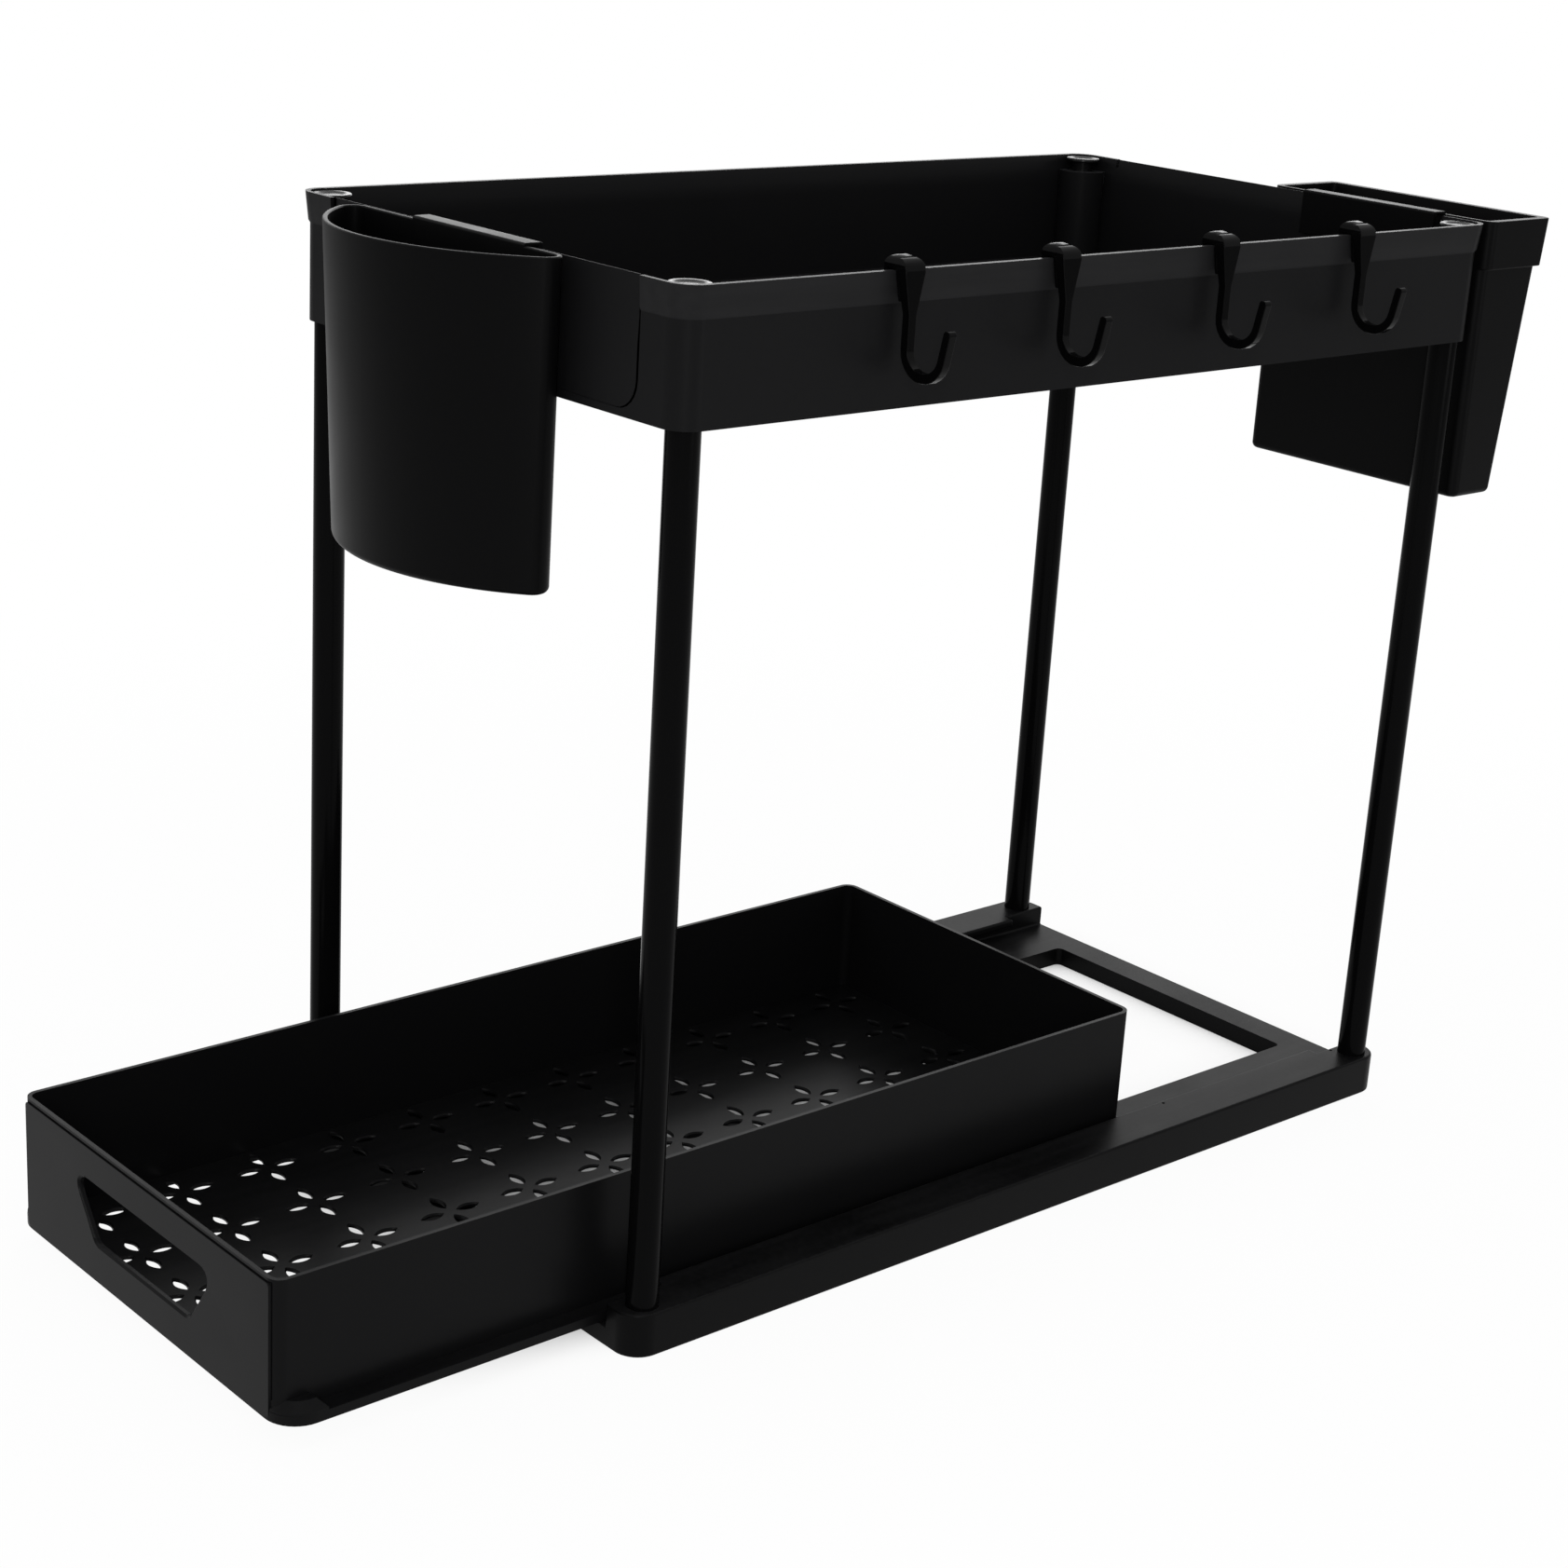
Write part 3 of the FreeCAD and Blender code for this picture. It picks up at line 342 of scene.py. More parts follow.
def moulded_black(name, tone, shine, roughness, grain, dust_and_top_sheen,
                  sheen_above=OUT_OF_REACH, sheen_aside=0.0):
    """Black moulded plastic: fine mould grain, faint flow marks, dust with a painted sheen on what
    faces up, a painted sheen on an upper band.

    Only outside faces get the band's painted sheen, above a height and beyond a distance from the
    middle plane.
    """
    plain_black, dust_and_sheen_grey = (tone, tone, 1.06 * tone, 1.0), (0.060, 0.060, 0.062, 1.0)
    grain_height, sheen_edge = 0.06 * MM, 0.2 * MM
    top_slope, top_patches = (0.55, 1.0), (0.38, 0.62)
    drawn_out, gloss_change = (1.0, 0.06, 1.0), 0.14
    finish = bpy.data.materials.new(name)
    pen = blank(finish)
    place = pen.node("TexCoord", output="Object")
    grit = pen.node("TexNoise", inputs={"Vector": place, "Scale": 1900.0, "Detail": 3.0})
    flow = pen.node("TexNoise", inputs={"Vector": place, "Scale": 22.0, "Detail": 4.0,
                                        "Distortion": 0.8})
    specks = pen.node("TexNoise", inputs={"Vector": place, "Scale": 420.0, "Detail": 2.0})
    lengthways = pen.node("VectorMath", {"operation": "MULTIPLY"}, {0: place, 1: drawn_out})
    streaks = pen.node("TexNoise", inputs={"Vector": lengthways, "Scale": 260.0, "Detail": 3.0})
    facing = pen.node("NewGeometry", output="Normal")
    # Faces that look up get dust patches together with a painted sheen of top light.
    upward = ramp(pen, coordinate(pen, facing, "Z"), *top_slope, "LINEAR")
    marks = flow * 0.35 + specks * 0.25 + streaks * 0.4
    top_dust_and_sheen = upward * dust_and_top_sheen * ramp(pen, marks, *top_patches, "LINEAR")
    from_middle = pen.node("VectorMath", {"operation": "SUBTRACT"}, {0: place, 1: stand_middle})
    outside = pen.node("VectorMath", {"operation": "DOT_PRODUCT"}, {0: from_middle, 1: facing},
                       output="Value")
    across = coordinate(pen, place, "X")
    aside = pen.math("GREATER_THAN", pen.math("MAXIMUM", across, 0.0 - across), sheen_aside)
    above = ramp(pen, coordinate(pen, place, "Z"), sheen_above, sheen_above + sheen_edge, "LINEAR")
    # Painted sheen: outside faces of the upper band are made paler, more so along the streaks.
    band_sheen = pen.math("GREATER_THAN", outside, 0.0) * aside * above
    paler = top_dust_and_sheen + band_sheen * (0.06 + 0.12 * streaks)
    colour = pen.node("Mix", {"data_type": "RGBA"}, {0: paler, 6: plain_black, 7: dust_and_sheen_grey}, output=2)
    bumps = pen.node("Bump", inputs={"Strength": grain, "Distance": grain_height, "Height": grit})
    surface = pen.node("BsdfPrincipled", inputs={
        "Base Color": colour,
        "Roughness": roughness - gloss_change / 2 + gloss_change * flow,
        "Specular IOR Level": shine,
        "Normal": bumps})
    pen.node("OutputMaterial", inputs={"Surface": surface})
    return finish


plate_thickness = 8.0 * MM
base_corner, moulded_edge = 10.0 * MM, 0.4 * MM
rail_width, rail_edge = 15.5 * MM, 1.0 * MM
lip_reach, lip_thickness, lip_length = 4.4 * MM, 3.7 * MM, 356.0 * MM
window_width, window_corner = 133.0 * MM, 2.5 * MM
end_bar, cross_bar, window_count = 15.0 * MM, 20.0 * MM, 3
socket_radius, socket_floor = 5.9 * MM, 3.0 * MM
pin_holes = ((90.8 * MM, 84.0 * MM), (95.0 * MM, 185.0 * MM))
pin_radius, pin_depth = 0.7 * MM, 1.5 * MM
CORNERS = ("front_left", "front_right", "back_left", "back_right")
post_middles = {corner: sum(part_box(f"post_{corner}"), Vector()) / 2 for corner in CORNERS}

low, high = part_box("base_frame")
middle_y = (low.y + high.y) / 2
plate_top = low.z + plate_thickness
rail_inside = high.x - rail_width
base = rounded_block("base_moulding", low, (high.x, high.y, plate_top), base_corner, steps=10)
for x in (-rail_inside, rail_inside):
    slice_at((x, 0.0, 0.0), (1.0, 0.0, 0.0))
pick("FACE", lambda middle, normal: normal.z > NEARLY and abs(middle.x) > rail_inside)
pull(0.0, 0.0, high.z - plate_top)
slice_level(high.z - lip_thickness)
for y in (middle_y - lip_length / 2, middle_y + lip_length / 2):
    slice_at((0.0, y, 0.0), (0.0, 1.0, 0.0))
pick("FACE", lambda middle, normal: normal.x * middle.x < -NEARLY * rail_inside
     and middle.z > high.z - lip_thickness and abs(middle.y - middle_y) < lip_length / 2)
swell(lip_reach)
soften(base, rail_edge, 3)
window_length = (high.y - low.y - 2 * end_bar - (window_count - 1) * cross_bar) / window_count
for number in range(window_count):
    window_front = low.y + end_bar + number * (window_length + cross_bar)
    window = rounded_block("window", (-window_width / 2, window_front, low.z - OVER),
                           (window_width / 2, window_front + window_length, plate_top + OVER),
                           window_corner)
    combine(base, window, "DIFFERENCE")
for corner in CORNERS:
    socket = rod("socket", post_middles[corner], socket_radius, socket_floor, high.z + OVER)
    combine(base, socket, "DIFFERENCE")
soften(base, moulded_edge, 2)
for pin_x, pin_y in pin_holes:
    pin_hole = rod("pin_hole", Vector((pin_x, middle_y + pin_y, 0.0)), pin_radius, high.z - pin_depth,
                   high.z + OVER, sides=16)
    combine(base, pin_hole, "DIFFERENCE")
frame_black = moulded_black("frame_black", tone=0.0024, shine=0.045, roughness=0.38, grain=0.25,
                            dust_and_top_sheen=0.12)
settle(base, frame_black, "frame", "base_frame")

# Slide drawer
# Open box of black polypropylene that slides out under the base lips on two side flanges. Its front
# carries a slightly proud panel with a hand hole, and flowers of four petals pierce its floor.
drawer_width, drawer_corner = 168.4 * MM, 5.0 * MM
drawer_wall, drawer_floor, floor_lift = 1.6 * MM, 1.3 * MM, 2.3 * MM
flange_thickness, flange_front_corner, flange_back_corner = 3.5 * MM, 12.0 * MM, 4.0 * MM
foot_length, foot_width, foot_height, foot_slant = 16.5 * MM, 21.0 * MM, 7.4 * MM, 3.0 * MM
foot_back = 0.1 * MM
panel_width, panel_proud, panel_corner, panel_edge = 162.4 * MM, 0.5 * MM, 1.5 * MM, 0.2 * MM
panel_bottom, panel_top, seam = 1.1 * MM, 49.0 * MM, 0.5 * MM
hand_top_width, hand_bottom_width, hand_corner = 94.4 * MM, 62.0 * MM, 5.0 * MM
hand_bottom, hand_top, hand_lip = 14.3 * MM, 36.5 * MM, 0.8 * MM
flower_columns, flower_rows, flower_pitch_x, flower_pitch_y = 5, 11, 34.0 * MM, 35.6 * MM
petal_start, petal_end, petal_width = 3.2 * MM, 12.3 * MM, 3.6 * MM
petal_edge, petal_flare = 0.6 * MM, 1.2 * MM


def outline(name, corners, fill=True):
    """A flat face drawn through corner points, each rounded by its radius, open for editing."""
    fresh()
    bpy.ops.mesh.primitive_plane_add(size=MM, enter_editmode=True, location=(0.0, 0.0, 0.0))
    bpy.ops.mesh.select_mode(type="VERT")
    bpy.ops.mesh.select_all(action="SELECT")
    bpy.ops.mesh.merge(type="CENTER")
    points = [Vector(point) for point, radius in corners]
    bpy.ops.transform.translate(value=points[0])
    for before, after in zip(points, points[1:]):
        bpy.ops.mesh.extrude_vertices_move(TRANSFORM_OT_translate={"value": after - before})
    bpy.ops.mesh.select_all(action="SELECT")
    if fill:
        bpy.ops.mesh.edge_face_add()
    for number, (point, radius) in enumerate(corners):
        if radius:
            here = points[number]
            after = points[(number + 1) % len(points)]
            half_angle = (points[number - 1] - here).angle(after - here) / 2
            pick("VERT", lambda place, normal: (place - here).length < TINY)
            bpy.ops.mesh.bevel(offset=radius / math.tan(half_angle), segments=6, affect="VERTICES")
    bpy.ops.mesh.select_all(action="SELECT")
    bpy.context.object.name = name
    return bpy.context.object


low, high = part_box("slide_drawer")
drawer_middle = (low + high) / 2
half_drawer = drawer_width / 2
box_front = low.y + panel_proud
drawer = rounded_block("drawer_moulding", (-half_drawer, box_front, low.z),
                       (half_drawer, high.y, high.z), drawer_corner)
flange = block("flange", low, (high.x, high.y, low.z + flange_thickness))
pick("EDGE", lambda middle, along: abs(along.z) > NEARLY and middle.y < drawer_middle.y)
bpy.ops.mesh.bevel(offset=flange_front_corner, segments=10, affect="EDGES")
pick("EDGE", lambda middle, along: abs(along.z) > NEARLY and middle.y > high.y - TINY)
bpy.ops.mesh.bevel(offset=flange_back_corner, segments=5, affect="EDGES")
combine(drawer, flange, "UNION")
for side in (-1, 1):
    edges = sorted((side * (high.x - foot_width), side * high.x))
    foot = block("foot", (edges[0], low.y + foot_back, low.z),
                 (edges[1], low.y + foot_length, low.z + foot_height))
    pick("EDGE", lambda middle, along: abs(along.z) > NEARLY and middle.y < low.y + foot_back + TINY
         and side * middle.x > high.x - TINY)
    bpy.ops.mesh.bevel(offset=flange_front_corner, segments=10, affect="EDGES")
    pick("EDGE", lambda middle, along: middle.z > low.z + foot_height - TINY
         and side * middle.x > high.x - foot_width + TINY)
    bpy.ops.mesh.bevel(offset=foot_slant, segments=1, affect="EDGES")
    combine(drawer, foot, "UNION")
inside = rounded_block("inside", (-half_drawer + drawer_wall, box_front + drawer_wall,
                                  low.z + floor_lift + drawer_floor),
                       (half_drawer - drawer_wall, high.y - drawer_wall, high.z + OVER),
                       drawer_corner - drawer_wall)
combine(drawer, inside, "DIFFERENCE")
under_edge = 2 * drawer_wall
underside = rounded_block("underside",
                          (-half_drawer + under_edge, box_front + under_edge, low.z - OVER),
                          (half_drawer - under_edge, high.y - under_edge, low.z + floor_lift),
                          drawer_corner - drawer_wall)
combine(drawer, underside, "DIFFERENCE")
soften(drawer, moulded_edge, 2)

petal_bow = ((petal_end - petal_start) ** 2 / petal_width + petal_width) / 4
petal_aside = Vector((0.0, petal_bow - petal_width / 2, 0.0))
floor_low = low.z + floor_lift
floor_high = floor_low + drawer_floor
first_flower = Vector((-(flower_columns - 1) / 2 * flower_pitch_x,
                       drawer_middle.y - (flower_rows - 1) / 2 * flower_pitch_y, 0.0))
petal_middle = first_flower + Vector(((petal_start + petal_end) / 2, 0.0, 0.0))
petals = rod("petals", petal_middle + petal_aside, petal_bow, floor_low - OVER,
             floor_high - petal_edge, sides=72)
other_side = rod("other_side", petal_middle - petal_aside, petal_bow, floor_low - 2 * OVER,
                 floor_high + OVER, sides=72)
combine(petals, other_side, "INTERSECT")
bpy.ops.object.mode_set(mode="EDIT")
pick("FACE", lambda middle, normal: normal.z > NEARLY)
pull(0.0, 0.0, petal_flare)
bpy.ops.transform.resize(value=(1.0 + 2 * petal_flare / (petal_end - petal_start),
                                1.0 + 2 * petal_flare / petal_width, 1.0),
                         center_override=petal_middle)
bpy.ops.mesh.select_all(action="SELECT")
for turn in range(3):
    bpy.ops.mesh.duplicate_move()
    bpy.ops.transform.rotate(value=math.pi / 2, orient_axis="Z", center_override=first_flower)
close_up(petals)
for count, step in ((flower_columns, (flower_pitch_x, 0.0, 0.0)),
                    (flower_rows, (0.0, flower_pitch_y, 0.0))):
    repeat = petals.modifiers.new("repeat", "ARRAY")
    repeat.count = count
    repeat.use_relative_offset = False
    repeat.use_constant_offset = True
    repeat.constant_offset_displace = step
    bpy.ops.object.modifier_apply(modifier=repeat.name)
combine(drawer, petals, "DIFFERENCE")

panel = block("panel", (-panel_width / 2, low.y, low.z + panel_bottom),
              (panel_width / 2, box_front + drawer_wall / 2, low.z + panel_top))
pick("EDGE", lambda middle, along: abs(along.y) > NEARLY)
bpy.ops.mesh.bevel(offset=panel_corner, segments=5, affect="EDGES")
soften(panel, panel_edge, 2)
combine(drawer, panel, "UNION")
top_seam = block("top_seam", (-panel_width / 2, low.y - OVER, low.z + panel_top - TINY),
                 (panel_width / 2, box_front + seam, low.z + panel_top + seam))
combine(drawer, top_seam, "DIFFERENCE")
for side in (-1, 1):
    edges = sorted((side * panel_width / 2, side * (panel_width / 2 + seam)))
    end_seam = block("end_seam", (edges[0], low.y - OVER, low.z + foot_height),
                     (edges[1], box_front + 2 * seam, low.z + panel_top + seam))
    combine(drawer, end_seam, "DIFFERENCE")

hand_hole = outline("hand_hole", [
    ((-hand_bottom_width / 2, low.y + hand_lip, low.z + hand_bottom), hand_corner),
    ((hand_bottom_width / 2, low.y + hand_lip, low.z + hand_bottom), hand_corner),
    ((hand_top_width / 2, low.y + hand_lip, low.z + hand_top), hand_corner),
    ((-hand_top_width / 2, low.y + hand_lip, low.z + hand_top), hand_corner)])
pull(0.0, panel_proud + drawer_wall + OVER, 0.0)
pick("FACE", lambda middle, normal: abs(normal.y) > NEARLY and middle.y < low.y + hand_lip + TINY)
pull(0.0, -2 * hand_lip, 0.0)
hand_middle = (0.0, low.y, low.z + (hand_bottom + hand_top) / 2)
bpy.ops.transform.resize(value=(1.0 + 4 * hand_lip / hand_top_width, 1.0,
                                1.0 + 4 * hand_lip / (hand_top - hand_bottom)),
                         center_override=hand_middle)
combine(drawer, hand_hole, "DIFFERENCE")
# A lighter tone than the frame, which paints light onto the drawer's shaded inside walls.
drawer_black = moulded_black("drawer_black", tone=0.0042, shine=0.05, roughness=0.32, grain=0.15,
                             dust_and_top_sheen=0.05)
settle(drawer, drawer_black, "drawer", "slide_drawer")

# Posts
# Four straight steel tubes, drawn thin and coated smooth black. Their ends are pushed into the
# sockets of the base and up into the columns of the tray.
post_wall, post_edge = 1.0 * MM, 0.3 * MM


def lathe(name, middle, profile, sides=48):
    """Turn a profile of radius and height points about an upright axis, open for editing."""
    points = [((middle.x + radius, middle.y, height), 0.0) for radius, height in profile]
    turned = outline(name, points, fill=False)
    bpy.ops.mesh.spin(steps=sides, angle=2 * math.pi, center=(middle.x, middle.y, 0.0),
                      axis=(0.0, 0.0, 1.0))
    bpy.ops.mesh.select_all(action="SELECT")
    bpy.ops.mesh.remove_doubles(threshold=TINY)
    bpy.ops.mesh.normals_make_consistent(inside=False)
    return turned


coated_tube = moulded_black("coated_tube", tone=0.0020, shine=0.03, roughness=0.16, grain=0.04,
                            dust_and_top_sheen=0.0)
for corner in CORNERS:
    low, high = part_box(f"post_{corner}")
    outer = (high.x - low.x) / 2
    inner = outer - post_wall
    tube = lathe(f"post_tube_{corner}", post_middles[corner], [
        (inner, low.z + post_edge), (inner + post_edge, low.z), (outer - post_edge, low.z),
        (outer, low.z + post_edge), (outer, high.z - post_edge), (outer - post_edge, high.z),
        (inner + post_edge, high.z), (inner, high.z - post_edge), (inner, low.z + post_edge)])
    settle(tube, coated_tube, "frame", f"post_{corner}")

# Upper tray
# Moulded black tray whose rim flares out in a band round the top. Round columns in its corners
# take the posts from below, and both ends have a shallow sunk panel.
tray_corner, tray_wall, tray_floor, tray_edge = 9.0 * MM, 2.0 * MM, 2.2 * MM, 0.5 * MM
band_height, band_step, flare_x, flare_y = 11.0 * MM, 0.5 * MM, 1.6 * MM, 1.1 * MM
inner_flare, flare_steps = 1.4 * MM, 5
column_radius, column_drop, cap_hole_radius = 10.0 * MM, 6.0 * MM, 4.0 * MM
recess_width, recess_depth, recess_bottom, recess_corner = 174.0 * MM, 0.4 * MM, 2.5 * MM, 10.0 * MM
groove_depth, groove_width = 1.3 * MM, 1.5 * MM
seat_depth, seat_clearance = 1.8 * MM, 0.2 * MM

low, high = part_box("upper_tray")
tray_middle = (low + high) / 2
wall_x, wall_front, wall_back = high.x - flare_x, low.y + flare_y, high.y - flare_y
half_length = (wall_back - wall_front) / 2
band_bottom = high.z - band_height
column_top = high.z - column_drop
tray = rounded_block("tray_moulding", (-wall_x, wall_front, low.z), (wall_x, wall_back, high.z),
                     tray_corner, steps=10)
slice_level(band_bottom)
slice_level(band_bottom + 2 * band_step)
pick("VERT", lambda place, normal: place.z > band_bottom + band_step)
bpy.ops.transform.resize(value=(1.0 + band_step / wall_x, 1.0 + band_step / half_length, 1.0),
                         center_override=tray_middle)
pick("VERT", lambda place, normal: place.z > high.z - TINY)
bpy.ops.transform.resize(value=(high.x / (wall_x + band_step),
                                (half_length + flare_y) / (half_length + band_step), 1.0),
                         center_override=tray_middle)
close_up(tray)
inside = rounded_block("inside", (-wall_x + tray_wall, wall_front + tray_wall, low.z + tray_floor),
                       (wall_x - tray_wall, wall_back - tray_wall, high.z), tray_corner - tray_wall)
for step in range(flare_steps):
    slice_level(high.z - band_height * (1.0 - step / flare_steps))
for step in range(1, flare_steps + 1):
    level = high.z - band_height * (1.0 - step / flare_steps)
    growth = inner_flare * (step / flare_steps) ** 2
    pick("VERT", lambda place, normal: abs(place.z - level) < TINY)
    bpy.ops.transform.resize(value=(1.0 + growth / wall_x, 1.0 + growth / half_length, 1.0),
                             center_override=tray_middle)
pick("FACE", lambda middle, normal: normal.z > NEARLY)
pull(0.0, 0.0, OVER)
close_up(inside)
for corner in CORNERS:
    column = rod("column", post_middles[corner], column_radius, low.z, column_top)
    combine(inside, column, "DIFFERENCE")
combine(tray, inside, "DIFFERENCE")
soften(tray, tray_edge, 3)


def end_form(name, end_y, outward, depth, inset):
    """A tool with the end panel's outline, from a depth in the end wall to outside the rim."""
    half = recess_width / 2 - inset
    bottom = low.z + recess_bottom - TINY
    panel_y = end_y - outward * depth
    form = outline(name, [
        ((-half, panel_y, bottom), recess_corner), ((half, panel_y, bottom), recess_corner),
        ((half, panel_y, high.z + OVER + inset), 0.0), ((-half, panel_y, high.z + OVER + inset), 0.0)])
    pull(0.0, outward * (depth + flare_y + OVER + inset), 0.0)
    return form


for end_y, outward in ((wall_front, -1), (wall_back, 1)):
    groove = end_form("groove", end_y, outward, groove_depth, 0.0)
    combine(groove, end_form("core", end_y, outward, 2 * groove_depth, groove_width), "DIFFERENCE")
    combine(tray, groove, "DIFFERENCE")
    combine(tray, end_form("recess", end_y, outward, recess_depth, 0.0), "DIFFERENCE")
for corner in CORNERS:
    cap_low, cap_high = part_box(f"cap_{corner}")
    cap_radius = (cap_high.x - cap_low.x) / 2
    post_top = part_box(f"post_{corner}")[1].z
    middle = post_middles[corner]
    combine(tray, rod("bore", middle, socket_radius, low.z - OVER, post_top), "DIFFERENCE")
    combine(tray, rod("cap_hole", middle, cap_hole_radius, post_top - OVER, high.z), "DIFFERENCE")
    combine(tray, rod("cap_seat", middle, cap_radius + seat_clearance, cap_high.z - seat_depth,
                      high.z + OVER), "DIFFERENCE")
# The tray's lighter tone paints light onto its walls, the shaded inside among them; its upper band gets
# the painted sheen.
tray_black = moulded_black("tray_black", tone=0.0065, shine=0.045, roughness=0.36, grain=0.2, dust_and_top_sheen=0.06,
                           sheen_above=band_bottom, sheen_aside=recess_width / 2)
settle(tray, tray_black, "frame", "upper_tray")

# Caps
# Small turned-looking plugs of glossier black plastic, each with a dished disc on a short neck,
# pushed through the tray into the column over a post.
cap_thickness, cap_rim, cap_dish, cap_edge = 1.6 * MM, 1.5 * MM, 0.6 * MM, 0.4 * MM
neck_radius, neck_height, spigot_radius = 4.7 * MM, 3.8 * MM, 3.9 * MM
cap_gloss = moulded_black("cap_gloss", tone=0.0030, shine=0.16, roughness=0.24, grain=0.05, dust_and_top_sheen=0.05)
for corner in CORNERS:
    low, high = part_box(f"cap_{corner}")
    radius = (high.x - low.x) / 2
    disc_low = high.z - cap_thickness
    cap = lathe(f"cap_button_{corner}", post_middles[corner], [
        (0.0, low.z), (spigot_radius - cap_edge, low.z), (spigot_radius, low.z + cap_edge),
        (spigot_radius, disc_low - neck_height), (neck_radius, disc_low - neck_height),
        (neck_radius, disc_low), (radius - cap_edge, disc_low), (radius, disc_low + cap_edge),
        (radius, high.z - 1.5 * cap_edge), (radius - 0.3 * cap_edge, high.z - 0.5 * cap_edge),
        (radius - cap_edge, high.z), (radius - cap_rim, high.z),
        (radius - 1.6 * cap_rim, high.z - 0.8 * cap_dish),
        (radius - 2 * cap_rim, high.z - cap_dish), (0.0, high.z - cap_dish)])
    settle(cap, cap_gloss, "frame", f"cap_{corner}")

# Front cup
# Thin D-shaped cup of black plastic that hangs on the tray's front end. Its bowed wall leans in
# towards the foot, and a strap with a leg hooks over the tray's rim.
cup_wall, cup_height, cup_edge, foot_edge = 1.8 * MM, 110.0 * MM, 0.6 * MM, 2.4 * MM
strap_thickness, strap_corner, strap_edge, leg_drop = 1.2 * MM, 0.9 * MM, 0.35 * MM, 16.0 * MM
front_depth, front_foot_depth, front_corner = 39.8 * MM, 33.6 * MM, 6.0 * MM
front_foot_width, front_strap_width, front_strap_aside = 117.4 * MM, 63.5 * MM, 6.2 * MM
rim_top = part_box("upper_tray")[1].z


def bowed_outline(name, middle_x, back_y, height, half_width, depth):
    """D-shaped edge loop with a flat back, two round corners and a bowed front."""
    corner_x = half_width - front_corner
    rise = depth - front_corner
    bow = (corner_x ** 2 + rise ** 2 - front_corner ** 2) / (2 * (rise - front_corner))
    bow_middle = Vector((middle_x, back_y - depth + bow, height))
    corner_sweep = math.pi / 2 + math.atan2(bow - rise, corner_x)
    bow_sweep = 2 * (math.pi - corner_sweep)
    loop = outline(name, [((middle_x - corner_x, back_y, height), 0.0)], fill=False)
    for centre_x, centre_y, sweep, steps in (
            (middle_x - corner_x, back_y - front_corner, corner_sweep, 10),
            (bow_middle.x, bow_middle.y, bow_sweep, 40),
            (middle_x + corner_x, back_y - front_corner, corner_sweep, 10)):
        bpy.ops.mesh.spin(steps=steps, angle=-sweep, center=(centre_x, centre_y, height),
                          axis=(0.0, 0.0, 1.0))
    pick("VERT", lambda place, normal: place.y > back_y - TINY)
    bpy.ops.mesh.edge_face_add()
    return loop


def add_strap(cup, middle_x, width, back_y, towards_tray, strap_top, leg_far):
    """Join a strap to a cup: from its back wall over the rim and down inside the tray."""
    leg_near = leg_far - towards_tray * cup_wall
    inner_y = back_y - towards_tray * cup_wall
    left, strap_low = middle_x - width / 2, strap_top - strap_thickness
    strap = outline("strap", [
        ((left, inner_y, strap_low - 2 * strap_thickness), 0.0),
        ((left, inner_y, strap_top), strap_corner),
        ((left, leg_far, strap_top), strap_corner),
        ((left, leg_far, rim_top - leg_drop), 0.0),
        ((left, leg_near, rim_top - leg_drop), 0.0),
        ((left, leg_near, strap_low), 0.0),
        ((left, back_y, strap_low), 0.0),
        ((left, back_y, strap_low - 2 * strap_thickness), 0.0)])
    pull(width, 0.0, 0.0)
    soften(strap, strap_edge, 2)
    combine(cup, strap, "UNION")


low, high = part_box("front_cup")
cup_middle_x, cup_back = (low.x + high.x) / 2, low.y + front_depth
mouth = bowed_outline("mouth", cup_middle_x, cup_back, low.z + cup_height, (high.x - low.x) / 2,
                      front_depth)
front_cup = bowed_outline("front_cup_moulding", cup_middle_x, cup_back, low.z, front_foot_width / 2,
                          front_foot_depth)
fresh()
mouth.select_set(True)
front_cup.select_set(True)
bpy.context.view_layer.objects.active = front_cup
bpy.ops.object.join()
bpy.ops.object.mode_set(mode="EDIT")
bpy.ops.mesh.select_all(action="SELECT")
bpy.ops.mesh.bridge_edge_loops()
pick("EDGE", lambda middle, along: middle.z < low.z + TINY)
bpy.ops.mesh.edge_face_add()
pick("EDGE", lambda middle, along: middle.z < low.z + TINY)
bpy.ops.mesh.bevel(offset=foot_edge, segments=6, affect="EDGES")
close_up(front_cup)
shell = front_cup.modifiers.new("shell", "SOLIDIFY")
shell.thickness = cup_wall
shell.offset = -1.0
shell.use_even_offset = True
bpy.ops.object.modifier_apply(modifier=shell.name)
soften(front_cup, cup_edge, 3, angle=60.0)
add_strap(front_cup, cup_middle_x + front_strap_aside, front_strap_width, cup_back, 1, high.z, high.y)
cup_black = moulded_black("cup_black", tone=0.0024, shine=0.04, roughness=0.36, grain=0.2, dust_and_top_sheen=0.06)
settle(front_cup, cup_black, "front_cup", "front_cup")

# Back cup
# Box-shaped cup of the same black plastic on the far end. Its far wall leans in towards the foot,
# and a proud collar runs round three sides under the rim.
collar_height, collar_proud, collar_step, cup_floor = 19.0 * MM, 1.8 * MM, 0.4 * MM, 2.2 * MM
back_depth, back_foot_depth, near_corner, far_corner = 39.0 * MM, 25.0 * MM, 4.0 * MM, 3.0 * MM
back_strap_width, back_strap_aside = 66.0 * MM, -1.5 * MM

low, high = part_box("back_cup")
cup_middle_x, cup_back, cup_top = (low.x + high.x) / 2, high.y - back_depth, low.z + cup_height
half_wall, far_wall = (high.x - low.x) / 2 - collar_proud, high.y - collar_proud
lean = far_wall - cup_back - back_foot_depth
collar_bottom = cup_top - collar_height


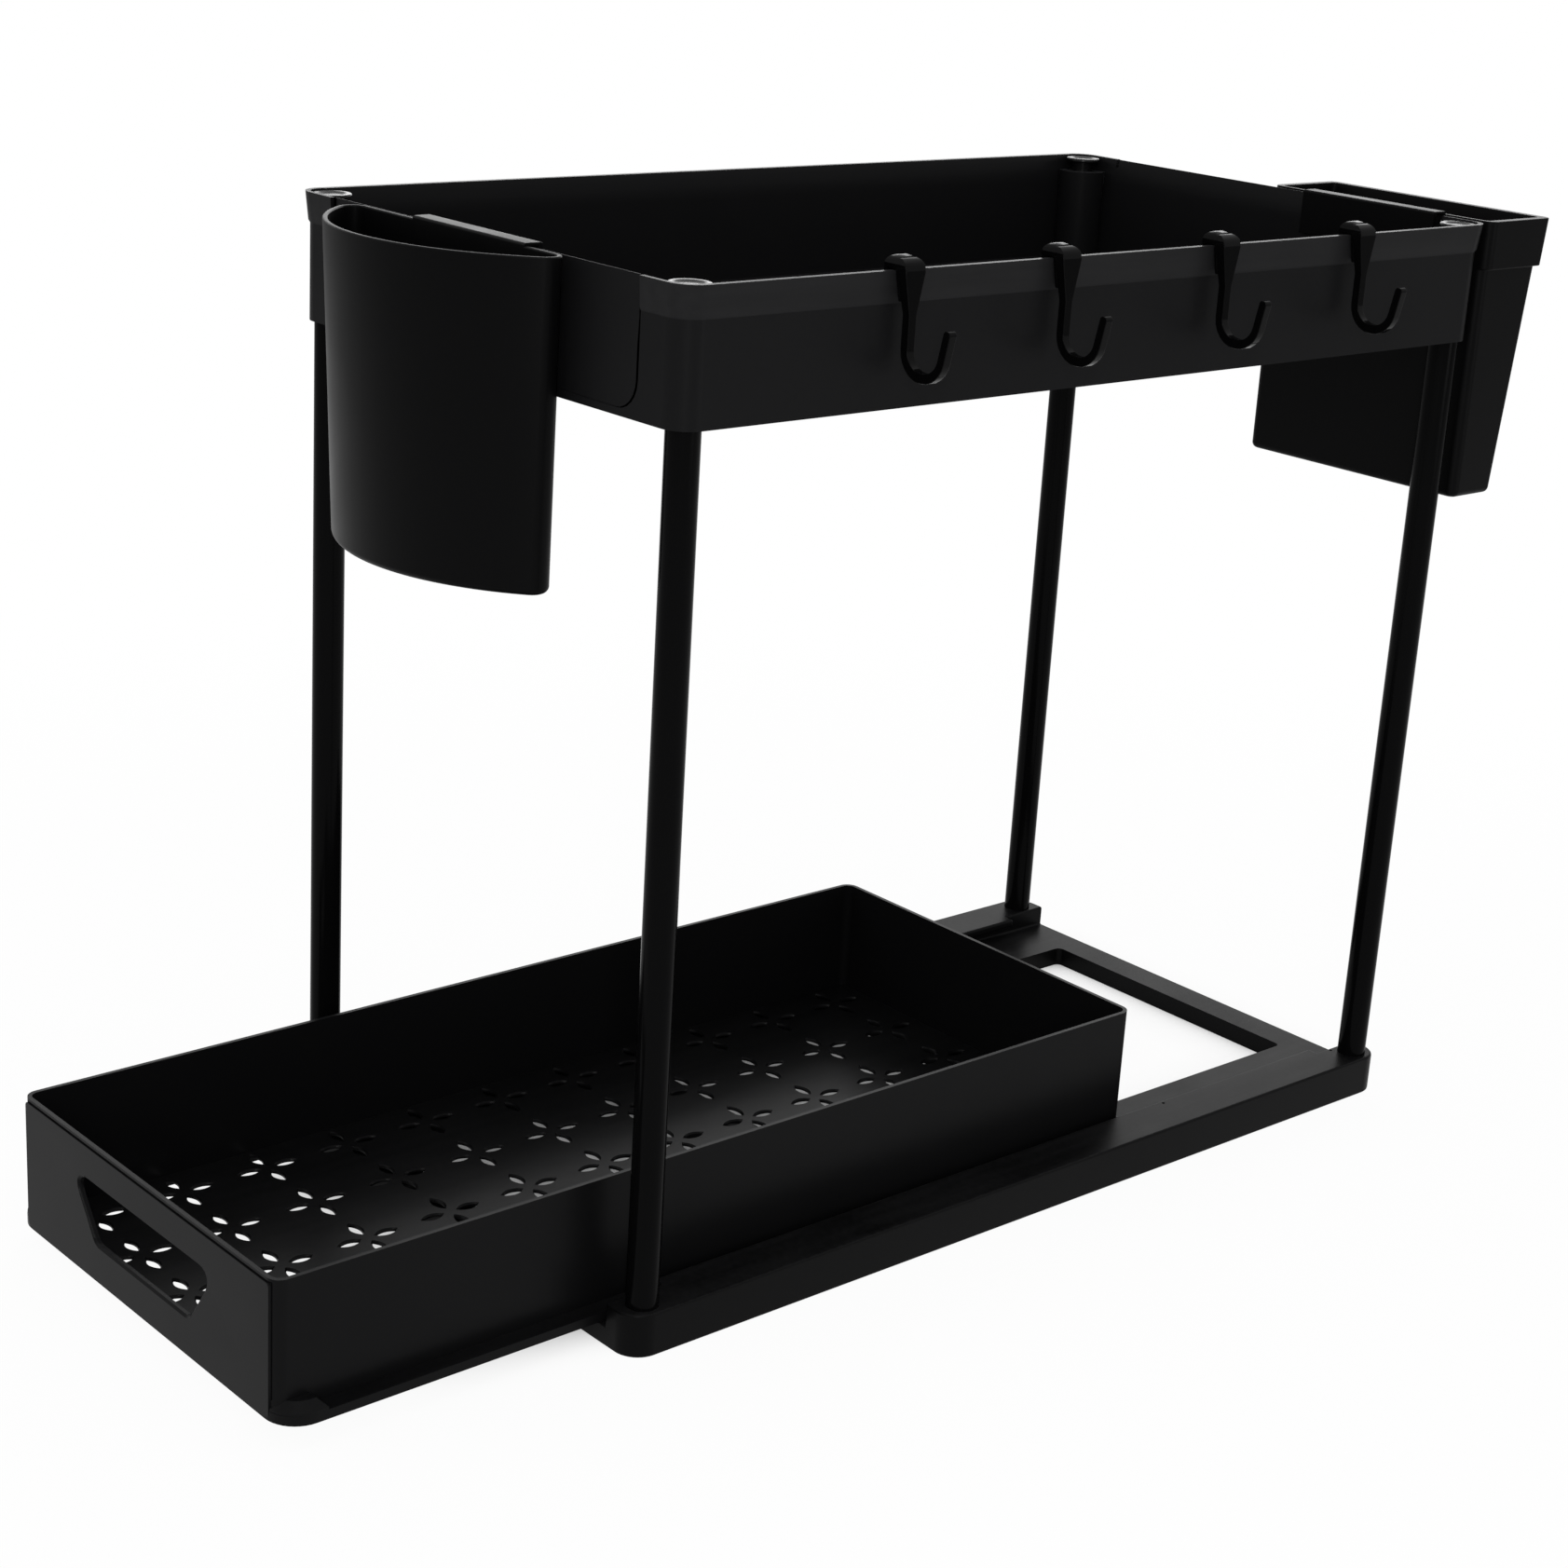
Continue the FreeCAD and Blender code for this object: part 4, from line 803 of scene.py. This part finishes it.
def leaning_box(name, inset, low_z, high_z):
    """The back cup's form, or its hollow, with the far wall leaning in at the foot."""
    half, near, far = half_wall - inset, cup_back + inset, far_wall - inset
    form = block(name, (cup_middle_x - half, near, low_z), (cup_middle_x + half, far, high_z))
    pick("EDGE", lambda middle, along: abs(along.z) > NEARLY and middle.y < near + TINY)
    bpy.ops.mesh.bevel(offset=near_corner - inset, segments=8, affect="EDGES")
    pick("EDGE", lambda middle, along: abs(along.z) > NEARLY and middle.y > far - TINY
         and abs(middle.x - cup_middle_x) > half - TINY)
    bpy.ops.mesh.bevel(offset=far_corner - inset / 2, segments=6, affect="EDGES")
    pick("VERT", lambda place, normal: place.z < low_z + TINY and place.y > near + back_depth / 2)
    bpy.ops.transform.translate(value=(0.0, -lean, 0.0))
    return form


back_cup = leaning_box("back_cup_moulding", 0.0, low.z, cup_top)
slice_level(collar_bottom)
slice_level(collar_bottom + collar_step)
pick("VERT", lambda place, normal: place.z > collar_bottom + collar_step / 2)
bpy.ops.transform.resize(value=(1.0 + collar_proud / half_wall, 1.0, 1.0),
                         center_override=(cup_middle_x, cup_back, low.z))
pick("VERT", lambda place, normal: place.z > collar_bottom + collar_step / 2
     and place.y > cup_back + back_depth / 2)
bpy.ops.transform.translate(value=(0.0, collar_proud, 0.0))
pick("EDGE", lambda middle, along: middle.z < low.z + TINY)
bpy.ops.mesh.bevel(offset=foot_edge, segments=6, affect="EDGES")
close_up(back_cup)
hollow = leaning_box("hollow", cup_wall, low.z + cup_floor, cup_top)
pick("FACE", lambda middle, normal: normal.z > NEARLY)
pull(0.0, 0.0, OVER)
combine(back_cup, hollow, "DIFFERENCE")
soften(back_cup, cup_edge, 3, angle=45.0)
add_strap(back_cup, cup_middle_x + back_strap_aside, back_strap_width, cup_back, -1, high.z, low.y)
settle(back_cup, cup_black, "back_cup", "back_cup")

# Hooks
# Four clip-on hooks of glossy black plastic, each one band: it bends over the tray's side rim, and
# its outer leg tapers down to a rod that turns up into a J.
clip_width, clip_corner, clip_plate = 8.8 * MM, 3.0 * MM, 1.2 * MM
clip_reach, clip_inner_plate, clip_crown_radius = 3.9 * MM, 1.5 * MM, 3.4 * MM
clip_outer_drop, clip_inner_drop, rim_gap = 10.0 * MM, 15.0 * MM, 0.3 * MM
hook_front, hook_rod, hook_bend, hook_drop = 5.2 * MM, 3.2 * MM, 6.5 * MM, 34.6 * MM
tip_drop, hook_lean, tip_corner, strap_crown = 16.0 * MM, 3.9 * MM, 1.4 * MM, 4.0 * MM
tip_width, taper_top, taper_bottom, jay_edge = 3.2 * MM, 0.5 * MM, 14.0 * MM, 0.9 * MM
hook_gloss = moulded_black("hook_gloss", tone=0.0016, shine=0.05, roughness=0.12, grain=0.03, dust_and_top_sheen=0.0)

low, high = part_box("hook_1")
rim_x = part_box("upper_tray")[1].x
hook_y = (low.y + high.y) / 2
hook_edge = clip_width / 2
crown_rise = high.z - rim_top
hook_reach = high.x - rim_x


def on_rim(x, y, z, radius=0.0):
    """An outline corner measured from the rim's outer edge at the first hook."""
    return (rim_x + x, hook_y + y, rim_top + z), radius


def narrow(drop):
    """Narrow what lies outside the rim at one depth, by the taper of the outer leg."""
    taper = (drop - taper_top) / (taper_bottom - taper_top)
    share = 1.0 - min(taper, 1.0) * (1.0 - tip_width / clip_width)
    pick("VERT", lambda place, normal: place.x > rim_x
         and (abs(place.z - rim_top + drop) < TINY or taper >= 1.0 and place.z < rim_top - drop))
    bpy.ops.transform.resize(value=(1.0, share, 1.0), center_override=(rim_x, hook_y, rim_top))


def shoulder(piece):
    """Round the upper corners of a band, seen from the front."""
    left, edge = -clip_reach - clip_inner_plate - OVER, hook_edge + TINY
    tab = outline("tab", [
        on_rim(left, -edge, -hook_drop - OVER), on_rim(left, edge, -hook_drop - OVER),
        on_rim(left, edge, crown_rise + TINY, clip_corner),
        on_rim(left, -edge, crown_rise + TINY, clip_corner)])
    pull(hook_reach - left + OVER, 0.0, 0.0)
    combine(piece, tab, "INTERSECT")


hook = outline("hook_moulding_1", [
    on_rim(rim_gap, -hook_edge, -clip_outer_drop),
    on_rim(rim_gap + clip_plate, -hook_edge, -clip_outer_drop),
    on_rim(rim_gap + clip_plate, -hook_edge, crown_rise, clip_crown_radius),
    on_rim(-clip_reach - clip_inner_plate, -hook_edge, crown_rise, clip_crown_radius),
    on_rim(-clip_reach - clip_inner_plate, -hook_edge, -clip_inner_drop),
    on_rim(-clip_reach, -hook_edge, -clip_inner_drop),
    on_rim(-clip_reach, -hook_edge, rim_gap),
    on_rim(rim_gap, -hook_edge, rim_gap)])
pull(0.0, clip_width, 0.0)
slice_level(rim_top - taper_top)
narrow(clip_outer_drop)
soften(hook, moulded_edge, 2)
shoulder(hook)
strap_back = hook_front - hook_rod
slope = hook_lean / (hook_drop - tip_drop)
far_outer = hook_reach - hook_lean
jay = outline("jay", [
    on_rim(rim_gap + clip_plate / 2, -hook_edge, strap_crown),
    on_rim(rim_gap + clip_plate / 2, -hook_edge, -taper_top),
    on_rim(strap_back, -hook_edge, taper_top - taper_bottom),
    on_rim(strap_back, -hook_edge, -hook_drop, hook_bend + hook_rod),
    on_rim(far_outer, -hook_edge, -hook_drop, hook_bend + hook_rod),
    on_rim(hook_reach, -hook_edge, -tip_drop, tip_corner),
    on_rim(hook_reach - hook_rod, -hook_edge, -tip_drop, tip_corner),
    on_rim(far_outer + (slope - 1.0) * hook_rod, -hook_edge, hook_rod - hook_drop, hook_bend),
    on_rim(hook_front, -hook_edge, hook_rod - hook_drop, hook_bend),
    on_rim(hook_front, -hook_edge, strap_crown, strap_crown)])
pull(0.0, clip_width, 0.0)
for drop in (taper_top, taper_bottom):
    slice_level(rim_top - drop)
narrow(taper_bottom)
narrow(taper_bottom - taper_top)
soften(jay, jay_edge, 4, angle=40.0)
shoulder(jay)
combine(hook, jay, "UNION")


def copy_to(piece, name, move):
    """A copy with a mesh of its own, moved within that mesh."""
    close_up(piece)
    bpy.ops.object.duplicate()
    copy = bpy.context.object
    copy.name = name
    bpy.ops.object.mode_set(mode="EDIT")
    bpy.ops.mesh.select_all(action="SELECT")
    bpy.ops.transform.translate(value=move)
    bpy.ops.object.mode_set(mode="OBJECT")
    return copy


hooks = {"hook_1": hook}
for number in (2, 3, 4):
    there = sum(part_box(f"hook_{number}"), Vector()) / 2
    hooks[f"hook_{number}"] = copy_to(hook, f"hook_moulding_{number}", (0.0, there.y - hook_y, 0.0))
for node, copy in hooks.items():
    settle(copy, hook_gloss, node, node)
